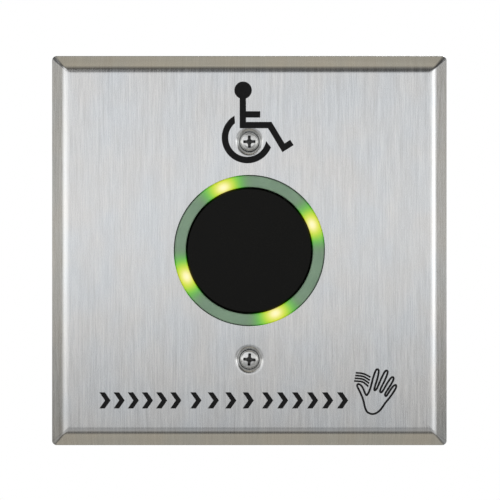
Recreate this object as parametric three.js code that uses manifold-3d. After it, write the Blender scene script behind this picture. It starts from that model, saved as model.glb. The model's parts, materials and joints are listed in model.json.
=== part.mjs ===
// Touchless door-opening switch: a stainless two-gang wall plate round an illuminated ring and a dark
// infrared window, with the sensor module and its wiring terminals behind it.
//
// Frame: millimetres, +Z up as installed, +Y into the wall, and the front faces -Y. The origin is the
// centre of the plate on the wall surface, so the bracket and the plate's rim both end at y = 0.

import * as THREE from "three";
import { mergeVertices } from "three/addons/utils/BufferGeometryUtils.js";
import Module from "manifold-3d";

const wasm = await Module();
wasm.setup();

// ---------------------------------------------------------------- driving dimensions

// Two-gang wall plate
const PLATE = { width: 115.9, height: 114.3, depth: 5.5, sheet: 1.5, cornerRadius: 1.4 };
const PLATE_FRONT = -PLATE.depth;
const PLATE_INSIDE = PLATE_FRONT + PLATE.sheet;
const PLATE_HOLE_RADIUS = 21.95;

// Two face screws on the vertical centre line, and four screws into the wall box
const FACE_SCREW_SPACING = 63.5;
const BOX_SCREWS = { across: 46.0, up: 83.3 };

// Mounting bracket: a pressed steel strap on the box
const BRACKET = { width: 64, height: 100, thickness: 1.2, cornerRadius: 4 };

// Sensor module: a moulded cup through the bracket, and a cover screwed to the back of it
const MODULE = { width: 52, height: 54, wall: 1.6, cornerRadius: 5 };
const FLANGE = { width: 58, height: 60, front: -2.9, back: -1.25, earRadius: 7 };
const CUP_BACK = 12.8;
const COVER = { front: 12.9, deckBack: 18.6, deckEdge: -12, back: 25, wall: 1.6 };
const BOSSES = { across: 41.8, up: 43.8, radius: 2.6, pilot: 1.1 };
const COVER_WELL = { wallRadius: 2.9, radius: 2.2, clearance: 1.2, seat: 15.2 };

// Light ring and window, both turned about the Y axis
const RING = { front: -6.9, outer: 21.7, inner: 18.7, back: 4.6 };
const WINDOW = { front: -6.2, radius: 18.45, flangeRadius: 20.1 };

// Circuit boards
const LED_BOARD = { front: 4.8, thickness: 1.6, radius: 23.2 };
const MAIN_BOARD = { front: 11.0, thickness: 1.6, width: 47.6, height: 49.6 };
const MAIN_BACK = MAIN_BOARD.front + MAIN_BOARD.thickness;
const LED_COUNT = 4;
const LED_FIRST_ANGLE = 22.5;
const LED_CIRCLE = 21.75;

// Wiring terminals: one block with a screw and a rising clamp at each pole
const POLES = { count: 5, pitch: 3.81 };
const TERMINAL = { width: 20, low: -23, high: -15.2, back: 22.6, screwZ: -19 };
const CLAMP_TRAVEL = 1.8;

// Controls on the back of the main board
const TRIMMERS = [
  { name: "range", x: -16.2, z: 15.5 },
  { name: "delay", x: -16.2, z: 6.0 },
];
const TRIMMER = { side: 6.8, back: 17.0, well: 2.6, rotor: 2.4 };
const SOUNDER = { x: -3.4, z: 1 };
const SWITCH = { x: -16.2, z: -6.0, pitch: 2.54, count: 3, travel: 1.6 };

// Relay
const RELAY = { x: 13.6, z: 5, width: 10, height: 20, back: 23.0, wall: 0.8 };

const GAP = 0.05; // between faces that touch on the real object
const FINE = 48; // sides of the ring, the window and the plate's hole
const SMALL = 12; // sides of screws and other small round pieces

// ---------------------------------------------------------------- shapes

const rad = THREE.MathUtils.degToRad;

// A closed geometry as a manifold-3d solid.
function solid(geometry) {
  const bare = geometry.clone();
  bare.deleteAttribute("normal");
  bare.deleteAttribute("uv");
  const merged = mergeVertices(bare, 1e-4);
  return new wasm.Manifold(
    new wasm.Mesh({
      numProp: 3,
      vertProperties: merged.attributes.position.array,
      triVerts: new Uint32Array(merged.index.array),
    }),
  );
}

// A manifold-3d solid as a flat-shaded geometry.
function geometryOf(made) {
  const { vertProperties, triVerts, numProp } = made.getMesh();
  const position = new Float32Array((vertProperties.length / numProp) * 3);
  for (let i = 0; i < position.length / 3; i++) {
    position.set(vertProperties.subarray(i * numProp, i * numProp + 3), i * 3);
  }
  const geometry = new THREE.BufferGeometry();
  geometry.setAttribute("position", new THREE.BufferAttribute(position, 3));
  geometry.setIndex(new THREE.BufferAttribute(new Uint32Array(triVerts), 1));
  const flat = geometry.toNonIndexed();
  flat.computeVertexNormals();
  return flat;
}

const cut = (base, ...tools) => geometryOf(tools.reduce((s, t) => s.subtract(solid(t)), solid(base)));
const join = (base, ...others) => geometryOf(others.reduce((s, t) => s.add(solid(t)), solid(base)));

// A box between two corners.
function block(x0, x1, y0, y1, z0, z1) {
  return new THREE.BoxGeometry(x1 - x0, y1 - y0, z1 - z0).translate(
    (x0 + x1) / 2,
    (y0 + y1) / 2,
    (z0 + z1) / 2,
  );
}

// An outline in X and Z, pulled along Y from y0 to y1.
function prism(outline, y0, y1, curveSegments = 3) {
  return new THREE.ExtrudeGeometry(outline, { depth: y1 - y0, bevelEnabled: false, curveSegments })
    .rotateX(Math.PI / 2)
    .translate(0, y1, 0);
}

// A round bar along Y.
function bar(radius, y0, y1, x = 0, z = 0, sides = SMALL) {
  return new THREE.CylinderGeometry(radius, radius, y1 - y0, sides).translate(x, (y0 + y1) / 2, z);
}

// A profile of [radius, y] points turned about a Y line. It starts and ends on the line, or closes.
function turned(profile, x = 0, z = 0, sides = SMALL) {
  const points = profile.map(([radius, y]) => new THREE.Vector2(radius, y));
  return new THREE.LatheGeometry(points, sides).translate(x, 0, z);
}

// The same for a ring, whose profile closes on itself.
const ringOf = (profile) => turned([...profile, profile[0]], 0, 0, FINE);

// A rectangle with round corners, centred on x and z.
function roundedRectangle(width, height, radius, x = 0, z = 0, path = new THREE.Shape()) {
  const w = width / 2 - radius;
  const h = height / 2 - radius;
  path.absarc(x + w, z + h, radius, 0, Math.PI / 2);
  path.absarc(x - w, z + h, radius, Math.PI / 2, Math.PI);
  path.absarc(x - w, z - h, radius, Math.PI, 1.5 * Math.PI);
  path.absarc(x + w, z - h, radius, 1.5 * Math.PI, 2 * Math.PI);
  path.closePath();
  return path;
}

// The four corners of a rectangle of the given spans, as [x, z].
const corners = (across, up) =>
  [1, -1].flatMap((sx) => [1, -1].map((sz) => [(sx * across) / 2, (sz * up) / 2]));

// ---------------------------------------------------------------- wall plate

// A pressed skin as a stack of rounded rectangles, from the rim at the wall to the flat front.
// Each level is [y, inset from the plate's outline]; a corner tightens as the bevel runs inwards.
function skin(levels) {
  const arcSteps = 4;
  const points = [];
  for (const [y, inset] of levels) {
    const radius = Math.max(PLATE.cornerRadius - 0.2 * inset, 0.55);
    const w = PLATE.width / 2 - inset - radius;
    const h = PLATE.height / 2 - inset - radius;
    const centres = [[w, h], [-w, h], [-w, -h], [w, -h]];
    centres.forEach(([cx, cz], quarter) => {
      for (let step = 0; step <= arcSteps; step++) {
        const angle = (quarter + step / arcSteps) * (Math.PI / 2);
        points.push([cx + radius * Math.cos(angle), y, cz + radius * Math.sin(angle)]);
      }
    });
  }
  const around = 4 * (arcSteps + 1);
  const index = [];
  for (let level = 0; level + 1 < levels.length; level++) {
    for (let i = 0; i < around; i++) {
      const a = level * around + i;
      const b = level * around + ((i + 1) % around);
      index.push(a, b, a + around, b, b + around, a + around);
    }
  }
  const last = (levels.length - 1) * around;
  for (let i = 1; i + 1 < around; i++) {
    index.push(0, i + 1, i);
    index.push(last, last + i, last + i + 1);
  }
  const geometry = new THREE.BufferGeometry();
  geometry.setAttribute("position", new THREE.Float32BufferAttribute(points.flat(), 3));
  geometry.setIndex(index);
  return geometry;
}

// The face screws sit in dimples pressed into the sheet.
const DIMPLE = { lip: 4.4, shoulder: 3.3, hole: 1.95, back: -2.7 };

function faceplate() {
  const outside = skin([
    [0, 0],
    [-1.4, 0],
    [-4.35, 2.95],
    [-4.95, 3.9],
    [-5.35, 5.2],
    [PLATE_FRONT, 6.6],
  ]);
  const inside = skin([
    [0.5, PLATE.sheet],
    [-0.8, PLATE.sheet],
    [-3.3, 4.0],
    [-3.8, 5.5],
    [PLATE_INSIDE, 6.6],
  ]);
  const shell = cut(outside, inside, bar(PLATE_HOLE_RADIUS, -8, 1, 0, 0, FINE));
  const screwZ = FACE_SCREW_SPACING / 2;
  const bulges = [screwZ, -screwZ].map((z) =>
    turned([[0, -4.6], [5.4, -4.6], [5.4, PLATE_INSIDE], [3.5, DIMPLE.back], [0, DIMPLE.back]], 0, z),
  );
  const recesses = [screwZ, -screwZ].map((z) =>
    turned([[0, -6], [DIMPLE.lip, -6], [DIMPLE.lip, PLATE_FRONT], [3.9, -5.35], [DIMPLE.shoulder, -4.95],
      [DIMPLE.hole, -3.4], [DIMPLE.hole, -2], [0, -2]], 0, z),
  );
  return cut(join(shell, ...bulges), ...recesses);
}

// ---------------------------------------------------------------- screws

// A cross recess for a driver: two tapered slots and a pilot cone, sunk from the front at y.
function crossRecess(y, depth, span, x, z, backwards = 1) {
  const slots = [0, 1].map((turn) => {
    const slot = new THREE.BoxGeometry(span, 2 * depth, span * 0.22);
    slot.rotateY((turn * Math.PI) / 2);
    return slot.translate(x, y, z);
  });
  const pilot = new THREE.ConeGeometry(span * 0.3, 1.7 * depth, 8);
  pilot.rotateX(backwards > 0 ? 0 : Math.PI);
  return [...slots, pilot.translate(x, y + backwards * 0.7 * depth, z)];
}

// Oval-head screw that holds the plate: head in the dimple, thread in the bracket.
function faceScrew(z) {
  const shank = 1.7;
  const body = turned(
    [[0, -5.42], [1.1, -5.36], [2.1, -5.16], [2.8, -4.86], [2.95, -4.68],
      [shank, -3.2], [shank, 6.6], [1.2, 7.1], [0, 7.1]],
    0,
    z,
  );
  return cut(body, ...crossRecess(-5.5, 1.2, 3.9, 0, z));
}

// Pan-head screw from the bracket into the wall box.
function boxScrew(x, z) {
  const seat = -BRACKET.thickness - GAP;
  const body = turned(
    [[0, seat - 1.85], [1.6, seat - 1.75], [2.7, seat - 1.25], [3.2, seat - 0.5], [3.2, seat],
      [1.7, seat], [1.7, 22], [1.2, 22.6], [0, 22.6]],
    x,
    z,
  );
  return cut(body, ...crossRecess(seat - 1.85, 1.1, 3.4, x, z));
}

// Self-tapping screw that closes the cover: head at the foot of the boss's well.
function coverScrew(x, z) {
  const { seat } = COVER_WELL;
  const body = turned(
    [[0, 6.4], [0.7, 7.2], [0.95, 8.0], [0.95, seat], [1.9, seat], [1.9, seat + 0.8],
      [1.5, seat + 1.35], [0, seat + 1.5]],
    x,
    z,
    16,
  );
  return cut(body, ...crossRecess(seat + 1.5, 0.9, 2.2, x, z, -1));
}

// ---------------------------------------------------------------- bracket

function mountingBracket() {
  const plate = roundedRectangle(BRACKET.width, BRACKET.height, BRACKET.cornerRadius);
  const opening = roundedRectangle(
    MODULE.width + 0.8,
    MODULE.height + 0.8,
    MODULE.cornerRadius + 0.4,
    0,
    0,
    new THREE.Path(),
  );
  plate.holes.push(opening);
  for (const [x, z] of corners(BOX_SCREWS.across, BOX_SCREWS.up)) {
    plate.holes.push(roundedRectangle(8.4, 4.4, 2.19, x, z, new THREE.Path()));
  }
  const sheet = prism(plate, -BRACKET.thickness, 0);
  const screwZ = FACE_SCREW_SPACING / 2;
  const collars = [screwZ, -screwZ].map((z) => bar(2.9, -0.6, 2.2, 0, z));
  const threads = [screwZ, -screwZ].map((z) => bar(1.85, -3, 4, 0, z));
  return cut(join(sheet, ...collars), ...threads);
}

// ---------------------------------------------------------------- light ring, window and gasket

// Places for the LEDs, as [x, z, angle].
const ledPlaces = Array.from({ length: LED_COUNT }, (_, i) => {
  const angle = rad(LED_FIRST_ANGLE + (i * 360) / LED_COUNT);
  return [LED_CIRCLE * Math.cos(angle), LED_CIRCLE * Math.sin(angle), angle];
});

// A box that lies along the ring at an LED's place.
function alongRing([x, z, angle], radial, tangential, y0, y1) {
  const box = new THREE.BoxGeometry(radial, y1 - y0, tangential);
  return box.rotateY(-angle).translate(x, (y0 + y1) / 2, z);
}

function lightRing() {
  const ring = ringOf([
    [RING.inner, RING.front + 0.6],
    [RING.inner + 0.5, RING.front],
    [RING.outer - 0.55, RING.front],
    [RING.outer, RING.front + 0.55],
    [RING.outer, -1.2],
    [23.8, -1.2],
    [23.8, 0.2],
    [23.2, 0.2],
    [23.2, RING.back],
    [20.3, RING.back],
    [20.3, -3.2],
    [RING.inner, -3.2],
  ]);
  return cut(ring, ...ledPlaces.map((place) => alongRing(place, 2.0, 3.4, 3.0, 6.0)));
}

function sensorWindow() {
  const { front, radius, flangeRadius } = WINDOW;
  return turned(
    [[0, front], [radius - 0.3, front], [radius, front + 0.3], [radius, -3.1], [flangeRadius, -3.1],
      [flangeRadius, -1.6], [17, -1.6], [17, front + 2.2], [0, front + 2.2]],
    0,
    0,
    FINE,
  );
}

function faceGasket() {
  const front = PLATE_INSIDE + GAP;
  const back = FLANGE.front - GAP;
  return ringOf([[22.8, front], [26.0, front], [26.0, back], [22.8, back]]);
}

// ---------------------------------------------------------------- module housing and cover

const moduleOutline = (inset = 0, path = new THREE.Shape()) =>
  roundedRectangle(
    MODULE.width - 2 * inset,
    MODULE.height - 2 * inset,
    MODULE.cornerRadius - inset,
    0,
    0,
    path,
  );

function frontHousing() {
  const screwZ = FACE_SCREW_SPACING / 2;
  const flange = prism(roundedRectangle(FLANGE.width, FLANGE.height, 6), FLANGE.front, FLANGE.back);
  const { earRadius } = FLANGE;
  const earStrip = roundedRectangle(2 * earRadius, FACE_SCREW_SPACING + 2 * earRadius, earRadius - 0.01);
  const ears = prism(earStrip, FLANGE.front, FLANGE.back);
  const cupOutline = moduleOutline();
  cupOutline.holes.push(moduleOutline(MODULE.wall, new THREE.Path()));
  const cup = prism(cupOutline, FLANGE.back - 0.2, CUP_BACK);
  const posts = corners(BOSSES.across, BOSSES.up).map(([x, z]) =>
    bar(BOSSES.radius, FLANGE.back - 0.2, MAIN_BOARD.front - GAP, x, z, 16),
  );
  const earHoles = [screwZ, -screwZ].map((z) => bar(3.9, -4, 0, 0, z));
  const pilots = corners(BOSSES.across, BOSSES.up).map(([x, z]) => bar(BOSSES.pilot, 5, 13, x, z, 12));
  const mouth = bar(22.3, -4, 0, 0, 0, FINE);
  return cut(join(flange, ears, cup, ...posts), mouth, ...earHoles, ...pilots);
}

// The stepped back cover: a low deck over the controls, a deep bay over the relay, and a notch
// at the foot where the terminal block stands.
const NOTCH = { halfWidth: 10.4, high: -14.8, wall: 1.4 };
const FAR = 40; // beyond the module's edge on every side

function rearCover() {
  const { wall, deckEdge, deckBack, front, back } = COVER;
  const bay = (inset, y0, y1) =>
    cut(prism(moduleOutline(inset), y0, y1), block(-FAR, deckEdge + inset, y0 - 1, y1 + 1, -FAR, FAR));
  const outside = join(prism(moduleOutline(), front, deckBack), bay(0, deckBack - 0.5, back));
  const notchWall = NOTCH.halfWidth + NOTCH.wall;
  const inside = cut(
    join(prism(moduleOutline(wall), front - 1, deckBack - wall), bay(wall, deckBack - 3, back - wall)),
    block(-notchWall, notchWall, front - 2, back + 1, -FAR, NOTCH.high + NOTCH.wall),
  );
  const places = corners(BOSSES.across, BOSSES.up);
  const bosses = places.map(([x, z]) =>
    bar(COVER_WELL.wallRadius, MAIN_BACK + GAP, (x > 0 ? back : deckBack) - 0.4, x, z, 16),
  );
  const wells = places.flatMap(([x, z]) => [
    bar(COVER_WELL.clearance, front - 1, COVER_WELL.seat, x, z, 12),
    bar(COVER_WELL.radius, COVER_WELL.seat - GAP, back + 1, x, z, 16),
  ]);
  const notch = block(-NOTCH.halfWidth, NOTCH.halfWidth, front - 1, back + 1, -FAR, NOTCH.high);
  const trimmerHoles = TRIMMERS.map(({ x, z }) => bar(3.0, deckBack - 2, deckBack + 1, x, z, 24));
  const { x, z } = SWITCH;
  const switchWindow = block(x - 3.3, x + 3.3, deckBack - 2, deckBack + 1, z - 4.6, z + 4.6);
  const vents = [-1, 0, 1].flatMap((i) =>
    [-1, 0, 1].map((k) => bar(0.7, 23, 26, SOUNDER.x + 3 * i, SOUNDER.z + 3 * k, 8)),
  );
  return cut(
    join(cut(outside, inside), ...bosses),
    ...wells,
    notch,
    ...trimmerHoles,
    switchWindow,
    ...vents,
  );
}

// ---------------------------------------------------------------- optics and LED board

const EYES = { halfSpan: 5.5, bore: 2.75 };

function opticShroud() {
  const outline = roundedRectangle(19, 8, 3.99);
  for (const x of [-EYES.halfSpan, EYES.halfSpan]) {
    const bore = new THREE.Path();
    bore.absarc(x, 0, EYES.bore, 0, 2 * Math.PI, true);
    outline.holes.push(bore);
  }
  return prism(outline, -3.9, LED_BOARD.front - GAP, 10);
}

// A round-nosed infrared emitter or receiver, with its nose towards the window.
function eye(x) {
  const back = LED_BOARD.front - GAP;
  const nose = Array.from({ length: 5 }, (_, i) => {
    const angle = (i / 4) * (Math.PI / 2);
    return [2.5 * Math.sin(angle), -0.6 - 2.5 * Math.cos(angle)];
  });
  return turned([...nose, [2.5, back], [0, back]], x, 0, 16);
}

const statusLed = (place) => alongRing(place, 1.6, 2.8, 3.4, LED_BOARD.front - GAP);

const ledBoard = () =>
  bar(LED_BOARD.radius, LED_BOARD.front, LED_BOARD.front + LED_BOARD.thickness, 0, 0, 40);

// Spacer between the boards.
function boardSpacer(x, z) {
  const y0 = LED_BOARD.front + LED_BOARD.thickness + GAP;
  return bar(2.2, y0, MAIN_BOARD.front - GAP, x, z, 6);
}

function boardHeader() {
  const y0 = LED_BOARD.front + LED_BOARD.thickness + GAP;
  return block(-5.1, 5.1, y0, MAIN_BOARD.front - GAP, 17.8, 20.3);
}

function mainBoard() {
  const outline = roundedRectangle(MAIN_BOARD.width, MAIN_BOARD.height, 2.5);
  for (const [x, z] of corners(BOSSES.across, BOSSES.up)) {
    const hole = new THREE.Path();
    hole.absarc(x, z, 1.4, 0, 2 * Math.PI, true);
    outline.holes.push(hole);
  }
  return prism(outline, MAIN_BOARD.front, MAIN_BACK, 5);
}

// ---------------------------------------------------------------- parts on the main board

const ON_BOARD = MAIN_BACK + GAP;

// A small part standing on the board, given its centre, its width and height, and how far it stands out.
const onBoard = (x, z, width, height, tall) =>
  block(x - width / 2, x + width / 2, ON_BOARD, ON_BOARD + tall, z - height / 2, z + height / 2);

// A turned part standing on the board: its profile is [radius, height above the board].
const turnedOnBoard = (profile, x, z) => turned(profile.map(([r, h]) => [r, ON_BOARD + h]), x, z);

const capacitor = () =>
  turnedOnBoard([[0, 0], [3.7, 0], [4, 0.4], [4, 9.0], [3.6, 9.4], [0, 9.4]], -4, 13);

const sounder = () =>
  turnedOnBoard(
    [[0, 0], [4.5, 0], [4.5, 4.6], [4.2, 4.9], [1, 4.9], [1, 4.2], [0, 4.2]],
    SOUNDER.x,
    SOUNDER.z,
  );

// Relay: an open-frame switch under a box cover. The armature tips on the yoke's edge.
const COIL_Y = 17.8;
const COIL_LOW = -3.2;
const COIL_HIGH = 8.4;
const HINGE = { y: 21.35, z: 9.5 };

const relayBase = () => onBoard(RELAY.x, RELAY.z, RELAY.width, RELAY.height, 1.2);

function relayCover() {
  const { x, z, width, height, back, wall } = RELAY;
  const front = ON_BOARD + 1.2 + GAP;
  const outside = block(x - width / 2, x + width / 2, front, back, z - height / 2, z + height / 2);
  const inside = block(
    x - width / 2 + wall,
    x + width / 2 - wall,
    front - 1,
    back - wall,
    z - height / 2 + wall,
    z + height / 2 - wall,
  );
  return cut(outside, inside);
}

// The winding on its bobbin, with the core's pole face standing out at the armature's end.
function relayCoil() {
  const profile = [[0, COIL_LOW], [3.4, COIL_LOW], [3.4, COIL_LOW + 0.7], [2.9, COIL_LOW + 0.7],
    [2.9, COIL_HIGH - 0.7], [3.4, COIL_HIGH - 0.7], [3.4, COIL_HIGH], [1.6, COIL_HIGH],
    [1.6, COIL_HIGH + 0.3], [0, COIL_HIGH + 0.3]];
  return turned(profile).rotateX(Math.PI / 2).translate(RELAY.x, COIL_Y, 0);
}

function relayYoke() {
  const x0 = RELAY.x - 3;
  const x1 = RELAY.x + 3;
  const arm = block(x0, x1, 21.3, 22.1, COIL_LOW - 0.9, HINGE.z - 0.6);
  const heel = block(x0, x1, 15.2, 22.1, COIL_LOW - 0.9, COIL_LOW - 0.05);
  return join(arm, heel);
}

const relayArmature = () =>
  block(RELAY.x - 3, RELAY.x + 3, 16.0, 21.9, HINGE.z - 0.4, HINGE.z + 0.4);

// The moving contact's leaf, on the armature's outer side, with its bead low down.
function relayContactSpring() {
  const leaf = block(RELAY.x - 1.5, RELAY.x + 1.5, 14.4, 20.5, HINGE.z + 0.45, HINGE.z + 0.75);
  const bead = new THREE.CylinderGeometry(0.7, 0.7, 0.9, 10).rotateX(Math.PI / 2);
  return join(leaf, bead.translate(RELAY.x, 15.0, HINGE.z + 0.6));
}

// A fixed contact: a post on the base with a flat bead towards the leaf.
function relayContact(z0, z1) {
  return block(RELAY.x - 1.2, RELAY.x + 1.2, ON_BOARD + 1.3, 15.9, z0, z1);
}

// ---------------------------------------------------------------- terminals

const poleXs = Array.from({ length: POLES.count }, (_, i) => (i - (POLES.count - 1) / 2) * POLES.pitch);

// Clamp cages rise behind the wire entries; each entry opens at the foot of the block.
const CAGE = { halfWidth: 1.35, front: 14.0, back: 18.4, low: -21.3, high: -16.7 };
const CAGE_CLEARANCE = 0.15;
const SHOULDER = 20.85;

function terminalBlock() {
  const { width, low, high, back, screwZ } = TERMINAL;
  const body = block(-width / 2, width / 2, ON_BOARD, back, low, high);
  const halfChamber = CAGE.halfWidth + CAGE_CLEARANCE;
  const chambers = poleXs.flatMap((x) => [
    block(
      x - halfChamber,
      x + halfChamber,
      CAGE.front - CAGE_CLEARANCE,
      CAGE.back + CLAMP_TRAVEL + CAGE_CLEARANCE,
      CAGE.low - CAGE_CLEARANCE,
      CAGE.high + CAGE_CLEARANCE,
    ),
    block(x - 1.3, x + 1.3, 14.6, 18.0, low - 1, CAGE.low),
    bar(1.05, CAGE.back + 1, back, x, screwZ, 14),
    bar(1.75, SHOULDER, back + 1, x, screwZ, 14),
  ]);
  return cut(body, ...chambers);
}

// Slotted screw, captive in the block, that draws its cage towards its head.
function terminalScrew(x) {
  const z = TERMINAL.screwZ;
  const top = 22.4;
  const body = turned(
    [[0, 16.6], [0.6, 16.6], [0.85, 16.9], [0.85, SHOULDER + GAP], [1.6, SHOULDER + GAP],
      [1.6, top - 0.2], [1.4, top], [0, top]],
    x,
    z,
    14,
  );
  return cut(body, block(x - 2, x + 2, top - 0.7, top + 1, z - 0.25, z + 0.25));
}

// A square loop of brass: the wire passes through it, and the screw's thread runs in its back wall.
function clampCage(x) {
  const { halfWidth, front, back, low, high } = CAGE;
  const loop = block(x - halfWidth, x + halfWidth, front, back, low, high);
  const halfWay = halfWidth - 0.35;
  const way = block(x - halfWay, x + halfWay, front + 0.6, back - 1.1, low - 1, high + 1);
  return cut(loop, way, bar(1.0, 17, 20, x, TERMINAL.screwZ, 14));
}

// ---------------------------------------------------------------- trimmers and mode switch

function trimmerBody({ x, z }) {
  const { side, back, well } = TRIMMER;
  return cut(onBoard(x, z, side, side, back - ON_BOARD), bar(well, 15.2, 18, x, z, 24));
}

function trimmerRotor({ x, z }) {
  const rotor = bar(TRIMMER.rotor, 15.25, 17.5, x, z, 24);
  const slot = block(x - 1.9, x + 1.9, 16.7, 18, z - 0.3, z + 0.3);
  const pointer = block(x + 1.2, x + 3, 17.1, 18, z - 0.5, z + 0.5);
  return cut(rotor, slot, pointer);
}

const sliderZs = Array.from(
  { length: SWITCH.count },
  (_, i) => SWITCH.z + (i - (SWITCH.count - 1) / 2) * SWITCH.pitch,
);

const TRACK = { halfLength: 1.75, halfWidth: 0.65, floor: 15.0 };

function modeSwitchBody() {
  const body = onBoard(SWITCH.x, SWITCH.z, 6.2, 8.6, 3.7);
  const { halfLength, halfWidth, floor } = TRACK;
  const tracks = sliderZs.map((z) =>
    block(SWITCH.x - halfLength, SWITCH.x + halfLength, floor, 18, z - halfWidth, z + halfWidth),
  );
  return cut(body, ...tracks);
}

// A slider rests at the -X end of its track and travels to the +X end.
function modeSlider(z) {
  const x0 = SWITCH.x - TRACK.halfLength + 0.1;
  const length = 2 * TRACK.halfLength - 0.2 - SWITCH.travel;
  const foot = block(x0, x0 + length, TRACK.floor + GAP, 16.5, z - 0.55, z + 0.55);
  const thumb = block(x0 + 0.3, x0 + length - 0.3, 16.2, 17.4, z - 0.4, z + 0.4);
  return join(foot, thumb);
}

// ---------------------------------------------------------------- materials

const finish = (color, roughness, metalness = 0) =>
  new THREE.MeshStandardMaterial({ color, roughness, metalness });

const MATERIALS = {
  stainless: finish(0xc6c8ca, 0.34, 1),
  screwSteel: finish(0xd2d5d3, 0.22, 1),
  zincSteel: finish(0xb9bcbb, 0.42, 1),
  brass: finish(0xc9a24a, 0.35, 1),
  iron: finish(0x8d9092, 0.5, 1),
  copper: finish(0xb5653a, 0.4, 1),
  ringDiffuser: finish(0x8ccf6a, 0.4),
  darkWindow: finish(0x181916, 0.2),
  blackPlastic: finish(0x1b1c1d, 0.55),
  foam: finish(0x202122, 0.9),
  board: finish(0x1d5a35, 0.45),
  ledBody: finish(0xe9ecdf, 0.35),
  clearLens: finish(0xcfd6e0, 0.1),
  whitePlastic: finish(0xe4e4de, 0.45),
  bluePlastic: finish(0x2f5fae, 0.4),
  redPlastic: finish(0xb0302a, 0.4),
  greenPlastic: finish(0x2c8a4b, 0.45),
  amberPlastic: finish(0xd9a441, 0.4),
  chip: finish(0x1a1b1c, 0.5),
  canister: finish(0x34383c, 0.35),
};

// ---------------------------------------------------------------- assembly

const assembly = new THREE.Group();

function add(name, geometry, material) {
  const mesh = new THREE.Mesh(geometry, material);
  mesh.name = name;
  assembly.add(mesh);
}

const M = MATERIALS;
const faceScrewZ = FACE_SCREW_SPACING / 2;

add("faceplate", faceplate(), M.stainless);
add("face_screw_upper", faceScrew(faceScrewZ), M.screwSteel);
add("face_screw_lower", faceScrew(-faceScrewZ), M.screwSteel);
add("face_gasket", faceGasket(), M.foam);
add("light_ring", lightRing(), M.ringDiffuser);
add("sensor_window", sensorWindow(), M.darkWindow);

add("mounting_bracket", mountingBracket(), M.zincSteel);
corners(BOX_SCREWS.across, BOX_SCREWS.up).forEach(([x, z], i) =>
  add(`box_screw_${i + 1}`, boxScrew(x, z), M.zincSteel),
);

add("front_housing", frontHousing(), M.blackPlastic);
add("rear_cover", rearCover(), M.blackPlastic);
corners(BOSSES.across, BOSSES.up).forEach(([x, z], i) =>
  add(`cover_screw_${i + 1}`, coverScrew(x, z), M.zincSteel),
);

add("optic_shroud", opticShroud(), M.blackPlastic);
add("infrared_emitter", eye(-EYES.halfSpan), M.clearLens);
add("infrared_receiver", eye(EYES.halfSpan), M.darkWindow);
add("led_board", ledBoard(), M.board);
ledPlaces.forEach((place, i) => add(`status_led_${i + 1}`, statusLed(place), M.ledBody));
add("board_header", boardHeader(), M.chip);
add("board_spacer_1", boardSpacer(17, -8), M.brass);
add("board_spacer_2", boardSpacer(-17, -8), M.brass);

add("main_board", mainBoard(), M.board);
add("controller_chip", onBoard(-4, -9.3, 6.4, 5.2, 1.6), M.chip);
add("voltage_regulator", onBoard(4.2, -9.2, 6, 6.1, 2.3), M.chip);
add("capacitor", capacitor(), M.canister);
add("sounder", sounder(), M.chip);

add("relay_base", relayBase(), M.chip);
add("relay_coil", relayCoil(), M.copper);
add("relay_yoke", relayYoke(), M.iron);
add("relay_armature", relayArmature(), M.iron);
add("relay_contact_spring", relayContactSpring(), M.brass);
add("relay_contact_closed", relayContact(HINGE.z + 1.15, HINGE.z + 1.9), M.brass);
add("relay_contact_open", relayContact(HINGE.z - 0.75, HINGE.z - 0.35), M.brass);
add("relay_cover", relayCover(), M.amberPlastic);

add("terminal_block", terminalBlock(), M.greenPlastic);
poleXs.forEach((x, i) => add(`terminal_screw_${i + 1}`, terminalScrew(x), M.screwSteel));
poleXs.forEach((x, i) => add(`clamp_cage_${i + 1}`, clampCage(x), M.brass));

for (const trimmer of TRIMMERS) {
  add(`${trimmer.name}_trimmer_body`, trimmerBody(trimmer), M.bluePlastic);
  add(`${trimmer.name}_trimmer_rotor`, trimmerRotor(trimmer), M.whitePlastic);
}

add("mode_switch_body", modeSwitchBody(), M.redPlastic);
sliderZs.forEach((z, i) => add(`mode_slider_${i + 1}`, modeSlider(z), M.whitePlastic));

export default assembly;
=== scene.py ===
"""The looks of a touchless door-opening switch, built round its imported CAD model.

Shapes are worked out in millimetres and become metres when a mesh is made. The frame is the CAD
model's: +X to the viewer's right, +Y into the wall, +Z up. The front faces -Y.
"""

import json
import math

import bmesh
import bpy
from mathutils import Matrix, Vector


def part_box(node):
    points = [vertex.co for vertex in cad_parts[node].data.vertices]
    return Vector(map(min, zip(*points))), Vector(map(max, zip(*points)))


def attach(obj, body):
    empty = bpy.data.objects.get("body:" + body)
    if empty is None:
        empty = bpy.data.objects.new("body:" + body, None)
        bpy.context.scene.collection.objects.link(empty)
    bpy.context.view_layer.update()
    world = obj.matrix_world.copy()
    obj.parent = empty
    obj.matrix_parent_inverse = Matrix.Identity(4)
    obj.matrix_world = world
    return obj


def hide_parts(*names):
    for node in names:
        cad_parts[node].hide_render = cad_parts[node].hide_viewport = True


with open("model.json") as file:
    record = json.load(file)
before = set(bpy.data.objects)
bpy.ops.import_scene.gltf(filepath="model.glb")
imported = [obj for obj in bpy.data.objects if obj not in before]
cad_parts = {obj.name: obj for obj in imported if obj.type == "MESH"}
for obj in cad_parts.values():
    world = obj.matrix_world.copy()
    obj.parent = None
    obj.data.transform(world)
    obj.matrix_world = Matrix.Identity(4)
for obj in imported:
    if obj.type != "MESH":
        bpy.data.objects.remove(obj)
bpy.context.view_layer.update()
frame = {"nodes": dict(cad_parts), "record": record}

MM = 0.001
ROOT = "switch"
TAU = 2 * math.pi

# ---------------------------------------------------------------- sizes, from the frame

def span(node):
    """A CAD node's lowest and highest corners in millimetres."""
    low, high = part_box(node)
    return low / MM, high / MM


def middle(node):
    """The middle of a CAD node's box in millimetres."""
    low, high = span(node)
    return (low + high) / 2


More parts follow.
